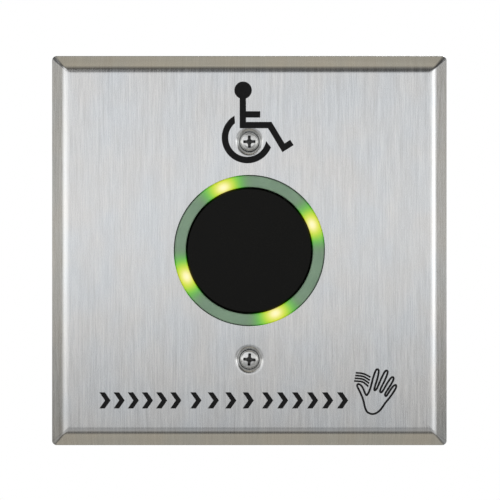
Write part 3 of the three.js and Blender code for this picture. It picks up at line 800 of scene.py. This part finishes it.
def make_ring():
    profile = [(18.5, RING_FRONT + 0.3), (18.85, RING_FRONT + 0.02), (20.2, RING_FRONT),
               (21.3, RING_FRONT + 0.1), (21.7, RING_FRONT + 0.5), (21.7, -1.2), (23.8, -1.2),
               (23.8, 0.2), (23.2, 0.2), (23.2, RING_BACK), (20.3, RING_BACK), (20.3, -3.2), (18.5, -3.2)]
    closed = [profile[-1], *profile, profile[0]]
    eased = filleted(closed, [0.3, 0.3, 1.5, 0.5, 0.3] + [0.15] * 8, 5)[1:-1]
    ring = raw_object("glow_ring", closed_lathe(eased, sides=192))
    pockets = []
    for k in range(4):
        led = middle(f"status_led_{k + 1}")
        points, faces = block(-1.0, 1.0, 3.0, 6.0, -1.7, 1.7)
        a = LED_ANGLE + k * math.pi / 2
        turned = [(led.x + x * math.cos(a) - z * math.sin(a), y, led.z + x * math.sin(a) + z * math.cos(a))
                  for x, y, z in points]
        pockets.append((turned, faces))
    combine(ring, pockets, "DIFFERENCE")
    return stand_in(ring, "light_ring")


def make_window():
    front = span("sensor_window")[0].y
    profile = [(0, front), (17.9, front), (18.25, front + 0.55), (18.25, -3.1), (20.1, -3.1), (20.1, -1.6),
               (17, -1.6), (17, front + 2.2), (0, front + 2.2)]
    window = raw_object("filter_window", lathe(turned_profile(profile, 0.2, 4), sides=160))
    return stand_in(window, "sensor_window")


def make_gasket():
    low, high = span("face_gasket")
    outer, inner = high.x, 22.8
    profile = [(inner, low.y), (outer, low.y), (outer, high.y), (inner, high.y)]
    closed = [profile[-1], *profile, profile[0]]
    gasket = raw_object("foam_gasket", closed_lathe(filleted(closed, [0.2] * 4, 4)[1:-1], sides=96))
    return stand_in(gasket, "face_gasket")


make_ring()
make_window()
make_gasket()

# ---------------------------------------------------------------- bracket

BRACKET_LOW, BRACKET_HIGH = span("mounting_bracket")
COVER_LOW, COVER_HIGH = span("rear_cover")
HOUSING_LOW, HOUSING_HIGH = span("front_housing")
MODULE_WIDTH = COVER_HIGH.x - COVER_LOW.x
MODULE_HEIGHT = COVER_HIGH.z - COVER_LOW.z
MODULE_CORNER = 5.0
WALL = 1.6
ACROSS, UP = 23.0, 41.65  # the box screws' places
BOSS_X, BOSS_Z = 20.9, 21.9
FAR = 60.0


def corners_at(x, z):
    """Four places in the order of the numbered nodes."""
    return [(x, z), (x, -z), (-x, z), (-x, -z)]


def module_outline(inset=0.0):
    radius = MODULE_CORNER - inset
    return rounded_rectangle(MODULE_WIDTH - 2 * inset, MODULE_HEIGHT - 2 * inset, radius, steps=10)


def make_bracket():
    width, height = BRACKET_HIGH.x - BRACKET_LOW.x, BRACKET_HIGH.z - BRACKET_LOW.z
    outline = rounded_rectangle(width, height, 4.0, steps=10)
    made = raw_object("zinc_bracket", prism(outline, BRACKET_LOW.y, 0.0))
    collars = [bar(2.9, -0.6, BRACKET_HIGH.y, 0, s * SCREW_Z, 48) for s in (1, -1)]
    combine(made, [merged(*collars)], "UNION")
    holes = [prism(module_outline(-0.4), -FAR, FAR)]
    holes += [prism(pill(x - 2, z, x + 2, z, 4.4, 12), -FAR, FAR) for x, z in corners_at(ACROSS, UP)]
    holes += [bar(1.85, -FAR, FAR, 0, s * SCREW_Z, 40) for s in (1, -1)]
    combine(made, [merged(*holes)], "DIFFERENCE")
    return stand_in(ease(made, 0.14), "mounting_bracket")


def make_box_screws():
    low, high = span("box_screw_1")
    seat = BRACKET_LOW.y - 0.05
    head = [(0, low.y), (1.1, low.y + 0.04), (2.3, low.y + 0.34), (3.0, low.y + 0.9),
            (3.2, seat - 0.45), (3.2, seat)]
    for number, (x, z) in enumerate(corners_at(ACROSS, UP), 1):
        turn = math.radians(20 * number)
        cross_screw(f"box_screw_{number}", head, x, z, 3.4, 1.1, (1.7, seat, high.y, 0.79), turn)


make_bracket()
make_box_screws()

# ---------------------------------------------------------------- module case

FLANGE_BACK = -1.25
POST_BACK = 10.95
DECK_EDGE = -12.0  # the cover is low on this side's left and deep on its right
DECK_BACK = 18.6
WELL_SEAT = 15.2
NOTCH_X, NOTCH_Z, PARTITION = 10.4, -14.8, 1.4


def make_housing():
    front = HOUSING_LOW.y
    made = raw_object("front_case", prism(rounded_rectangle(58, 60, 6, steps=10), front, FLANGE_BACK))
    ears = prism(pill(0, SCREW_Z, 0, -SCREW_Z, 14, 24), front, FLANGE_BACK)
    cup = prism(module_outline(), FLANGE_BACK - 0.2, HOUSING_HIGH.y)
    combine(made, [ears, cup], "UNION")
    ease(made, 0.3, 3)
    combine(made, [prism(module_outline(WALL), FLANGE_BACK, FAR)], "DIFFERENCE")
    posts = [bar(2.6, FLANGE_BACK - 0.2, POST_BACK, x, z, 40) for x, z in corners_at(BOSS_X, BOSS_Z)]
    combine(made, [merged(*posts)], "UNION")
    holes = [bar(22.3, -FAR, 0, sides=160)]
    holes += [bar(3.9, -FAR, 0, 0, s * SCREW_Z, 64) for s in (1, -1)]
    holes += [bar(1.1, 5, FAR, x, z, 24) for x, z in corners_at(BOSS_X, BOSS_Z)]
    combine(made, [merged(*holes)], "DIFFERENCE")
    return stand_in(ease(made, 0.1), "front_housing")


def bay_outline(inset):
    """The module's outline to the right of the step."""
    edge = DECK_EDGE + inset
    kept = [(x, z) for x, z in module_outline(inset) if x > edge]
    top, foot = max(z for _, z in kept), min(z for _, z in kept)
    upper = [(x, z) for x, z in kept if z > 0]
    lower = [(x, z) for x, z in kept if z <= 0]
    return [*upper, (edge, top), (edge, foot), *lower]


def dial_marks(x, z, radius=3.4, length=0.6, count=11):
    """Raised marks round a trimmer's hole, over its range of turn to either side of +X."""
    marks = []
    for i in range(count):
        a = math.radians(130 - 260 * i / (count - 1))
        near, far = radius, radius + length * (1.0 if i % 5 else 1.35)
        marks.append(prism(pill(x + near * math.cos(a), z + near * math.sin(a), x + far * math.cos(a),
                                z + far * math.sin(a), 0.22, 4), DECK_BACK - 0.3, DECK_BACK + 0.14))
    return merged(*marks)


def make_cover():
    front, back = COVER_LOW.y + 0.25, COVER_HIGH.y
    made = raw_object("rear_case", prism(module_outline(), front - 3, DECK_BACK))
    combine(made, [prism(bay_outline(0), DECK_BACK - 0.5, back)], "UNION")
    ease(made, 0.9, 5)
    inside = raw_object("inside", prism(module_outline(WALL), front - 5, DECK_BACK - WALL))
    combine(inside, [prism(bay_outline(WALL), DECK_BACK - 3, back - WALL)], "UNION")
    wall = NOTCH_X + PARTITION
    combine(inside, [block(-wall, wall, -FAR, FAR, -FAR, NOTCH_Z + PARTITION)], "DIFFERENCE")
    apply_tool(made, inside, "DIFFERENCE")
    combine(made, [block(-FAR, FAR, 0, front, -FAR, FAR)], "DIFFERENCE")
    places = corners_at(BOSS_X, BOSS_Z)
    bosses = [bar(2.9, COVER_LOW.y, (back if x > 0 else DECK_BACK) - 1.0, x, z, 40) for x, z in places]
    combine(made, [merged(*bosses), *(dial_marks(x, z) for x, z in TRIMMERS)], "UNION")
    clearances = merged(*(bar(1.2, 0, WELL_SEAT + 0.2, x, z, 24) for x, z in places))
    wells = merged(*(bar(2.2, WELL_SEAT, FAR, x, z, 40) for x, z in places))
    notch = block(-NOTCH_X, NOTCH_X, 0, FAR, -FAR, NOTCH_Z)
    dials = [bar(3.0, DECK_BACK - 3, FAR, x, z, 64) for x, z in TRIMMERS]
    window = block(SWITCH_X - 3.3, SWITCH_X + 3.3, DECK_BACK - 3, FAR, SWITCH_Z - 4.6, SWITCH_Z + 4.6)
    vents = [bar(0.7, 23, FAR, SOUNDER_X + 3 * i, SOUNDER_Z + 3 * k, 24)
             for i in (-1, 0, 1) for k in (-1, 0, 1)]
    combine(made, [clearances, wells, notch, merged(*dials, window, *vents)], "DIFFERENCE")
    stand_in(ease(made, 0.1, split=True), "rear_cover")
    made.data.materials.append(WHITE)
    for face in made.data.polygons:
        place = face.center / MM
        near_dial = any(3.2 < math.hypot(place.x - x, place.z - z) < 4.6 for x, z in TRIMMERS)
        if near_dial and DECK_BACK + 0.03 < place.y < DECK_BACK + 0.5:
            face.material_index = 1


def make_cover_screws():
    low, high = span("cover_screw_1")
    seat = WELL_SEAT
    head = [(0, high.y), (0.9, high.y - 0.04), (1.55, high.y - 0.3), (1.86, high.y - 0.75),
            (1.9, seat + 0.03)]
    for number, (x, z) in enumerate(corners_at(BOSS_X, BOSS_Z), 1):
        turn = math.radians(35 * number)
        cross_screw(f"cover_screw_{number}", head, x, z, 2.3, 0.9, (1.05, seat + 0.03, low.y, 1.0), turn)


make_housing()
make_cover()
make_cover_screws()

# ---------------------------------------------------------------- terminals

POLES = 5
HEAD_REST = 20.9


def make_terminal_block():
    low, high = span("terminal_block")
    poles = [middle(f"terminal_screw_{i + 1}") for i in range(POLES)]
    pitch = poles[1].x - poles[0].x
    cage_low, cage_high = span("clamp_cage_1")
    half = (cage_high.x - cage_low.x) / 2 + 0.15
    lift = 1.8
    made = raw_object("terminal_housing", block(low.x, high.x, low.y, high.y, low.z, high.z))
    foot = [(low.z - 1, high.y - 1.6), (low.z + 1.6, high.y + 1.0), (low.z - 1, high.y + 1.0)]
    slope = ([(x, y, z) for x in (low.x - 1, high.x + 1) for z, y in foot],
             [[0, 1, 2], [5, 4, 3], [0, 3, 4, 1], [1, 4, 5, 2], [2, 5, 3, 0]])
    combine(made, [slope], "DIFFERENCE")
    ease(made, 0.25, 3)
    chambers = [block(p.x - half, p.x + half, cage_low.y - 0.15, cage_high.y + lift + 0.15,
                      cage_low.z - 0.15, cage_high.z + 0.15) for p in poles]
    entries = [block(p.x - 1.3, p.x + 1.3, 14.6, 18.0, low.z - 1, cage_low.z) for p in poles]
    throats = [bar(1.05, cage_high.y + 1, high.y, p.x, p.z, 32) for p in poles]
    wells = [bar(1.75, HEAD_REST - 0.05, FAR, p.x, p.z, 48) for p in poles]
    edges = [low.x + (high.x - low.x - pitch * POLES) / 2 + pitch * i for i in range(1, POLES)]
    grooves = [block(x - 0.12, x + 0.12, high.y - 0.3, FAR, -FAR, FAR) for x in edges]
    tools = [merged(*group) for group in (chambers, entries, throats, wells, grooves)]
    combine(made, tools, "DIFFERENCE")
    return stand_in(ease(made, 0.07), "terminal_block")


def make_terminal_screws():
    for number in range(1, POLES + 1):
        node = f"terminal_screw_{number}"
        low, high = span(node)
        x, z = (low.x + high.x) / 2, (low.z + high.z) / 2
        profile = [(0, high.y), (1.3, high.y), (1.6, high.y - 0.3), (1.6, HEAD_REST), (0.75, HEAD_REST),
                   (0.75, HEAD_REST - 0.8), (0, HEAD_REST - 0.8)]
        made = raw_object(f"{node}_head", lathe(turned_profile(profile, 0.1), x, z, 56))
        slot = block(x - 2, x + 2, high.y - 0.7, high.y + 1, z - 0.25, z + 0.25)
        combine(made, [slot], "DIFFERENCE")
        stand_in(ease(made, 0.04), node)
        thread = threaded(0.85, HEAD_REST - 0.5, low.y, -0.4, x, z, 0.12, 24, 5)
        belongs(raw_object(f"{node}_thread", thread), node, sharp=60)


make_terminal_block()
make_terminal_screws()

# ---------------------------------------------------------------- trimmers and mode switch


def make_trimmer(name, x, z):
    body, rotor = f"{name}_trimmer_body", f"{name}_trimmer_rotor"
    low, high = span(body)
    made = raw_object(f"{name}_trimmer_case", block(low.x, high.x, low.y, high.y, low.z, high.z))
    ease(made, 0.3, 3)
    key = block(low.x - 1, low.x + 0.7, high.y - 0.5, FAR, low.z - 1, low.z + 0.7)
    combine(made, [bar(2.6, 15.2, FAR, x, z, 64), key], "DIFFERENCE")
    stand_in(ease(made, 0.06), body)
    low, high = span(rotor)
    profile = [(0, high.y), (2.15, high.y), (2.4, high.y - 0.25), (2.4, low.y), (0, low.y)]
    made = raw_object(f"{name}_trimmer_dial", lathe(turned_profile(profile, 0.12), x, z, 72))
    slot = block(x - 1.9, x + 1.9, 16.7, FAR, z - 0.3, z + 0.3)
    pointer = prism([(x + 1.2, z - 0.55), (x + 2.25, z), (x + 1.2, z + 0.55)], 17.1, FAR)
    combine(made, [slot, pointer], "DIFFERENCE")
    return stand_in(ease(made, 0.05, split=True), rotor)


def make_mode_switch():
    low, high = span("mode_switch_body")
    made = raw_object("mode_switch_case", block(low.x, high.x, low.y, high.y, low.z, high.z))
    ease(made, 0.25, 3)
    sliders = [span(f"mode_slider_{i}") for i in (1, 2, 3)]
    rows = [(a.z + b.z) / 2 for a, b in sliders]
    tracks = [block(SWITCH_X - 1.75, SWITCH_X + 1.75, 15.0, FAR, z - 0.65, z + 0.65) for z in rows]
    combine(made, [merged(*tracks)], "DIFFERENCE")
    stand_in(ease(made, 0.05), "mode_switch_body")
    for number, (a, b) in enumerate(sliders, 1):
        node = f"mode_slider_{number}"
        made = raw_object(f"{node}_tab", block(a.x, b.x, a.y, 16.5, a.z, b.z))
        thumb = block(a.x + 0.3, b.x - 0.3, 16.2, b.y, a.z + 0.15, b.z - 0.15)
        combine(made, [thumb], "UNION")
        grip = (a.x + b.x) / 2
        grooves = [block(grip + s - 0.06, grip + s + 0.06, b.y - 0.12, FAR, -FAR, FAR)
                   for s in (-0.25, 0, 0.25)]
        combine(ease(made, 0.06), [merged(*grooves)], "DIFFERENCE")
        stand_in(made, node)


for name, (x, z) in zip(("range", "delay"), TRIMMERS):
    make_trimmer(name, x, z)
make_mode_switch()

# ---------------------------------------------------------------- round components


def make_round_components():
    low, high = span("capacitor")
    x, z, radius = (low.x + high.x) / 2, (low.z + high.z) / 2, (high.x - low.x) / 2
    can = [(0, high.y - 0.15), (radius - 1.0, high.y - 0.15), (radius - 0.8, high.y),
           (radius - 0.3, high.y), (radius, high.y - 0.4), (radius, low.y + 1.9),
           (radius - 0.35, low.y + 1.5), (radius, low.y + 1.1), (radius, low.y + 0.4),
           (radius - 0.3, low.y), (0, low.y)]
    made = raw_object("capacitor_can", lathe(turned_profile(can, 0.2, 4), x, z, 72))
    vent = [block(x - 2.2, x + 2.2, high.y - 0.27, FAR, z - 0.08, z + 0.08),
            block(x - 0.08, x + 0.08, high.y - 0.27, FAR, z - 2.2, z + 2.2)]
    combine(made, vent, "DIFFERENCE")
    stand_in(made, "capacitor")

    low, high = span("sounder")
    radius = (high.x - low.x) / 2
    case = [(0, high.y - 0.7), (1.0, high.y - 0.7), (1.0, high.y), (radius - 0.3, high.y),
            (radius, high.y - 0.3), (radius, low.y), (0, low.y)]
    made = raw_object("sounder_case", lathe(turned_profile(case, 0.15, 4), SOUNDER_X, SOUNDER_Z, 72))
    stand_in(made, "sounder")

    for node in ("infrared_emitter", "infrared_receiver"):
        low, high = span(node)
        radius = (high.x - low.x) / 2
        dome = [(radius * math.sin(a), low.y + radius * 0.9 * (1 - math.cos(a)))
                for a in (math.pi / 2 * i / 12 for i in range(13))]
        profile = [*dome, (radius, high.y), (0, high.y)]
        x, z = (low.x + high.x) / 2, (low.z + high.z) / 2
        stand_in(raw_object(f"{node}_lens", lathe(profile, x, z, 64)), node)


make_round_components()

# ---------------------------------------------------------------- chips and their leads

LEAD_REACH = 0.75  # how far a lead stands out past its chip


def gull_wing(x, y, z, side, width, on_x):
    """A bent lead: out from the chip, down to the board and out again, as a ribbon of even thickness."""
    thick = 0.12
    board = y + 0.05
    path = [(0.0, y + 0.8), (0.3, y + 0.8), (0.42, board), (LEAD_REACH, board)]
    outline = [*path, *((reach, level + thick) for reach, level in reversed(path))]
    ends = []
    for offset in (-width / 2, width / 2):
        for reach, level in outline:
            out, along = side * reach, offset
            ends.append((x + out, level, z + along) if on_x else (x + along, level, z + out))
    n = len(outline)
    faces = [list(range(n)), list(range(2 * n - 1, n - 1, -1))]
    faces += [[i, (i + 1) % n, n + (i + 1) % n, n + i] for i in range(n)]
    return ends, faces


def make_chip(node, pitch, count, on_x):
    """A moulded chip with a mark at its first corner, and a row of leads at two sides."""
    low, high = span(node)
    centre = (low + high) / 2
    made = raw_object(f"{node}_package", block(low.x, high.x, low.y + 0.15, high.y, low.z, high.z))
    ease(made, 0.12)
    mark = bar(0.35, high.y - 0.08, FAR, low.x + 0.9, high.z - 0.9, 32)
    combine(made, [mark], "DIFFERENCE")
    stand_in(made, node)
    leads = []
    for side in (-1, 1):
        for i in range(count):
            step = (i - (count - 1) / 2) * pitch
            edge = (high.x if side > 0 else low.x) if on_x else (high.z if side > 0 else low.z)
            x, z = (edge, centre.z + step) if on_x else (centre.x + step, edge)
            leads.append(gull_wing(x, low.y, z, side, pitch * 0.35, on_x))
    made = raw_object(f"{node}_leads", merged(*leads))
    return finish_piece(made, SCREW)


make_chip("controller_chip", 0.65, 7, on_x=True)
make_chip("voltage_regulator", 2.2, 2, on_x=False)

# ---------------------------------------------------------------- every CAD node that is still shown

def carry_nodes():
    """Gives each CAD node its material, flat faces without their seams, and eased edges."""
    for entry in frame["record"]["subparts"]:
        node = frame["nodes"][entry["node"]]
        node.data.materials.clear()
        node.data.materials.append(LOOKS[entry["material_slot"]])
        weld = node.modifiers.new("weld", "WELD")
        weld.merge_threshold = 1e-6
        flat = node.modifiers.new("flat", "DECIMATE")
        flat.decimate_type = "DISSOLVE"
        flat.angle_limit = math.radians(1)
        if entry["node"].startswith("clamp_cage"):
            # the faces round the screw's hole are split first, or the bevel folds them over it
            node.modifiers.new("split", "TRIANGULATE")
        edge = node.modifiers.new("ease", "BEVEL")
        edge.width = 0.08 * MM
        edge.segments = 2
        edge.limit_method = "ANGLE"
        edge.angle_limit = math.radians(40)
        edge.harden_normals = False


carry_nodes()

# ---------------------------------------------------------------- printed graphics

PRINT_BACK = PLATE_FRONT + 0.01
PRINT_FRONT = PLATE_FRONT - 0.04


def stroke(path, width, closed=False):
    """The two sides of a line of constant width along a path, with mitred corners."""
    pts = [Vector(p) for p in path]
    n = len(pts)
    left, right = [], []
    for i, p in enumerate(pts):
        before = pts[(i - 1) % n] if closed or i > 0 else p
        after = pts[(i + 1) % n] if closed or i < n - 1 else p
        one, two = (p - before), (after - p)
        along = ((one.normalized() if one.length else two.normalized())
                 + (two.normalized() if two.length else one.normalized())).normalized()
        side = Vector((-along.y, along.x))
        bend = max(0.5, side.dot(Vector((-two.normalized().y, two.normalized().x))) if two.length else 1.0)
        left.append(p + side * (width / 2 / bend))
        right.append(p - side * (width / 2 / bend))
    return left, right


def band(path, width, closed=False):
    """A printed line: the stroke as a thin raised prism."""
    left, right = stroke(path, width, closed)
    n = len(left)
    points = [(p.x, y, p.y) for y in (PRINT_FRONT, PRINT_BACK) for p in left + right]
    count = n if closed else n - 1
    faces = []
    for i in range(count):
        k = (i + 1) % n
        front = [i, k, n + k, n + i]
        faces.append(front)
        faces.append([j + 2 * n for j in reversed(front)])
        faces.append([i, i + 2 * n, k + 2 * n, k])
        faces.append([n + k, n + k + 2 * n, n + i + 2 * n, n + i])
    if not closed:
        for i in (0, n - 1):
            faces.append([i, n + i, 3 * n + i, 2 * n + i])
    return points, faces


def wheel(cx, cz, outer, inner, start, end, slant, steps=56):
    """An arc of a ring as an outline, cut straight at its ends. The inner arc passes the outer by slant."""
    inside = arc(cx, cz, inner, end + slant[1], start + slant[0], steps)
    return arc(cx, cz, outer, start, end, steps) + inside


def make_pictogram():
    """A seated figure on a wheel, above and round the upper screw."""
    wide = 1.85
    back_x, seat_z = -1.9, SCREW_Z + 4.82
    knee, heel, toe = (5.95, seat_z), (9.95, SCREW_Z - 1.8), (12.42, SCREW_Z - 0.25)
    figure = band([(back_x, SCREW_Z + 14.0), (back_x, seat_z), knee, heel, toe], wide)
    arm = band([(back_x, SCREW_Z + 7.93), (3.18, SCREW_Z + 7.93)], wide)
    head = prism(circle(2.54, back_x + 0.08, SCREW_Z + 14.97, 64), PRINT_FRONT, PRINT_BACK)
    rim = prism(wheel(-0.6, SCREW_Z + 1.13, 7.45, 5.55, 120, 338, (10, 12)), PRINT_FRONT, PRINT_BACK)
    made = raw_object("seated_figure_print", figure)
    combine(made, [arm, head, rim], "UNION")
    return finish_piece(made, INK, sharp=60)


def make_chevrons():
    """Three groups of right-pointing chevrons, in place of a line of words."""
    low, high = -46.0, -41.3
    tip_z = (low + high) / 2
    point, thick = 1.65, 1.6
    parts = []
    for left, right, count in ((-43.7, -19.8, 6), (-17.2, 1.3, 4), (3.7, 28.8, 6)):
        pitch = (right - left - point - thick) / (count - 1)
        for i in range(count):
            x = left + i * pitch
            outline = [(x, low), (x + thick, low), (x + thick + point, tip_z), (x + thick, high),
                       (x, high), (x + point, tip_z)]
            parts.append(prism(outline, PRINT_FRONT, PRINT_BACK))
    made = raw_object("chevron_print", merged(*parts))
    return finish_piece(made, INK, sharp=60)


def smooth_path(points, closed=False, steps=8):
    """A Catmull-Rom curve through the points."""
    pts = [Vector(p) for p in points]
    n = len(pts)
    out = []
    for i in range(n if closed else n - 1):
        p0 = pts[(i - 1) % n] if closed or i > 0 else pts[i]
        p1, p2 = pts[i], pts[(i + 1) % n]
        p3 = pts[(i + 2) % n] if closed or i < n - 2 else p2
        for s in range(steps):
            t = s / steps
            out.append(0.5 * (2 * p1 + (p2 - p0) * t + (2 * p0 - 5 * p1 + 4 * p2 - p3) * t * t
                              + (3 * p1 - p0 - 3 * p2 + p3) * t * t * t))
    if not closed:
        out.append(pts[-1])
    return out


def finger(base, tip, half):
    """The points up one side of a finger, round its tip and down the other side."""
    b, t = Vector(base), Vector(tip)
    up = (t - b).normalized()
    side = Vector((-up.y, up.x)) * half
    return [b + side * 0.95, b + side + (t - b) * 0.55, t + side * 0.75 - up * half * 0.9, t,
            t - side * 0.75 - up * half * 0.9, b - side + (t - b) * 0.55, b - side * 0.95]


def make_hand():
    """A waving hand in outline, with motion arcs, in the plate's lower corner."""
    fingers = [((35.85, -40.2), (37.4, -34.6), 0.62), ((37.6, -40.5), (40.1, -35.0), 0.58),
               ((39.15, -41.4), (41.9, -36.9), 0.56), ((40.4, -42.6), (42.7, -39.2), 0.55)]
    outline = [(33.8, -46.0), (33.1, -43.3), (32.2, -41.1), (31.4, -39.4), (31.9, -38.9), (32.9, -39.7),
               (33.9, -41.9), (34.5, -41.8)]
    for base, tip, half in fingers:
        outline += finger(base, tip, half)
    outline += [(39.6, -44.4), (38.0, -46.6), (36.2, -47.6), (34.6, -47.2)]
    parts = [band(smooth_path(outline, closed=True, steps=6), 0.58, closed=True)]
    for k in range(4):
        low = -35.6 - 0.8 * k
        bow = [(31.0 - 0.16 * k, low), (33.3 - 0.1 * k, low - 0.3), (35.3 - 0.2 * k, low - 1.3 - 0.1 * k)]
        parts.append(band(smooth_path(bow, steps=8), 0.52))
    made = raw_object("waving_hand_print", merged(*parts))
    return finish_piece(made, INK, sharp=60)


make_pictogram()
make_chevrons()
make_hand()

# ---------------------------------------------------------------- stage, light and camera

VIEW_TO_PLATE = 1.2668  # the width the camera takes in at the plate, over the plate's own
LENS, SENSOR = 130.0, 36.0


def make_stage():
    floor = raw_object("floor", block(-900, 900, -700, 600, -172, -170))
    made = Finish("pale_floor", (0.8, 0.8, 0.79), 0.6)
    tone = made.ramp(made.noise(60.0), (0.3, (0.78, 0.78, 0.77)), (0.7, (0.82, 0.82, 0.81)))
    made.drive("Base Color", tone)
    floor.data.materials.append(made.material)
    floor.visible_glossy = False


def make_world():
    """A studio as a pattern of light by direction: white to the camera, graded in reflections."""
    world = bpy.data.worlds.new("studio")
    bpy.context.scene.world = world
    world.use_nodes = True
    tree = world.node_tree
    tree.nodes.clear()

    def node(kind, inputs=None, **settings):
        made = tree.nodes.new(kind)
        for key, value in settings.items():
            setattr(made, key, value)
        for key, value in (inputs or {}).items():
            if isinstance(value, bpy.types.NodeSocket):
                tree.links.new(value, made.inputs[key])
            else:
                made.inputs[key].default_value = value
        return made

    def calc(operation, a, b=0.0, clamp=False):
        return node("ShaderNodeMath", {0: a, 1: b}, operation=operation, use_clamp=clamp).outputs[0]

    def curve(value, low, high, stops):
        """A colour for a value between low and high."""
        place = node("ShaderNodeMapRange", {"Value": value, "From Min": low, "From Max": high}).outputs[0]
        made = node("ShaderNodeValToRGB", {"Fac": place})
        elements = made.color_ramp.elements
        while len(elements) < len(stops):
            elements.new(1.0)
        for element, (where, color) in zip(elements, stops):
            element.position = (where - low) / (high - low)
            element.color = (*color, 1.0)
        return made.outputs["Color"]

    where = node("ShaderNodeTexCoord").outputs["Generated"]
    axes = node("ShaderNodeSeparateXYZ", {"Vector": where})
    x, y, z = (axes.outputs[k] for k in "XYZ")
    azimuth = calc("MULTIPLY", calc("ARCTAN2", x, calc("MULTIPLY", y, -1.0)), 180 / math.pi)
    elevation = calc("MULTIPLY", calc("ARCSINE", z), 180 / math.pi)

    def grey(value, warm=0.0):
        return (value * (1 + 0.6 * warm), value, value * (1 - 1.2 * warm))

    by_azimuth = curve(azimuth, -180, 180, [
        (-180, grey(0.85)), (-110, grey(0.6, 0.06)), (-84, grey(0.52, 0.09)), (-74, grey(0.72, 0.04)),
        (-62, grey(1.75)), (-45, grey(1.85)), (-28, grey(1.4)), (-12, grey(1.12, -0.02)),
        (0, grey(1.05, -0.02)), (10, grey(0.92)), (25, grey(1.1)), (38, grey(1.5)), (50, grey(2.75)),
        (60, grey(2.5)), (69, grey(1.05)), (80, grey(0.5, 0.05)), (110, grey(0.6, 0.06)), (180, grey(0.85)),
    ])
    by_elevation = curve(elevation, -90, 90, [
        (-90, grey(0.53, 0.13)), (-70, grey(0.5, 0.13)), (-62, grey(0.16, 0.1)), (-53, grey(0.1)),
        (-43, grey(0.36, 0.06)), (-34, grey(0.5)), (-12, grey(0.36)), (-5, grey(0.5)), (0, grey(1.3)),
        (5, grey(0.85)), (12, grey(0.9, -0.02)), (17, grey(0.9)), (22, grey(0.42)), (27, grey(0.09)),
        (48, grey(0.06, 0.08)), (60, grey(0.18, 0.1)), (78, grey(0.5, 0.14)), (90, grey(0.82, 0.16)),
    ])
    level = calc("POWER", calc("COSINE", calc("ARCSINE", z)), 1.5)
    product = node("ShaderNodeMix", data_type="RGBA", blend_type="MULTIPLY")
    product.inputs[0].default_value = 1.0
    tree.links.new(by_azimuth, product.inputs[6])
    tree.links.new(by_elevation, product.inputs[7])
    blend = node("ShaderNodeMix", data_type="RGBA")
    tree.links.new(level, blend.inputs[0])
    tree.links.new(by_elevation, blend.inputs[6])
    tree.links.new(product.outputs[2], blend.inputs[7])
    lit = node("ShaderNodeBackground", {"Color": blend.outputs[2], "Strength": 1.0})
    seen = node("ShaderNodeBackground", {"Color": (1, 1, 1, 1), "Strength": 1.0})
    is_camera = node("ShaderNodeLightPath").outputs["Is Camera Ray"]
    both = node("ShaderNodeMixShader")
    tree.links.new(is_camera, both.inputs[0])
    tree.links.new(lit.outputs[0], both.inputs[1])
    tree.links.new(seen.outputs[0], both.inputs[2])
    out = node("ShaderNodeOutputWorld")
    tree.links.new(both.outputs[0], out.inputs["Surface"])


def area_light(name, place, size, power, in_gloss=True):
    data = bpy.data.lights.new(name, "AREA")
    data.shape = "RECTANGLE"
    data.size, data.size_y = size
    data.energy = power
    made = bpy.data.objects.new(name, data)
    made.location = place
    made.visible_glossy = in_gloss
    made.rotation_euler = (-Vector(place)).to_track_quat("-Z", "Y").to_euler()
    bpy.context.scene.collection.objects.link(made)


def make_camera():
    across = PLATE_WIDTH * MM * VIEW_TO_PLATE
    distance = across / 2 * LENS / (SENSOR / 2)
    data = bpy.data.cameras.new("camera")
    data.lens, data.sensor_width = LENS, SENSOR
    data.clip_end = 10.0
    camera = bpy.data.objects.new("camera", data)
    camera.location = (0.19 * MM, BEVEL_FOOT * MM - distance, 0.17 * MM)
    camera.rotation_euler = (math.pi / 2, 0, 0)
    bpy.context.scene.collection.objects.link(camera)
    bpy.context.scene.camera = camera


make_stage()
make_world()
area_light("key", (-0.5, -0.6, 0.6), (0.4, 0.4), 0.8)
area_light("back", (0.4, 0.8, 0.6), (0.5, 0.5), 4.0)
area_light("overhead", (0.0, 0.3, 1.3), (1.4, 1.4), 16.0, in_gloss=False)
make_camera()
bpy.context.scene.view_settings.view_transform = "Standard"
bpy.context.scene.view_settings.look = "None"
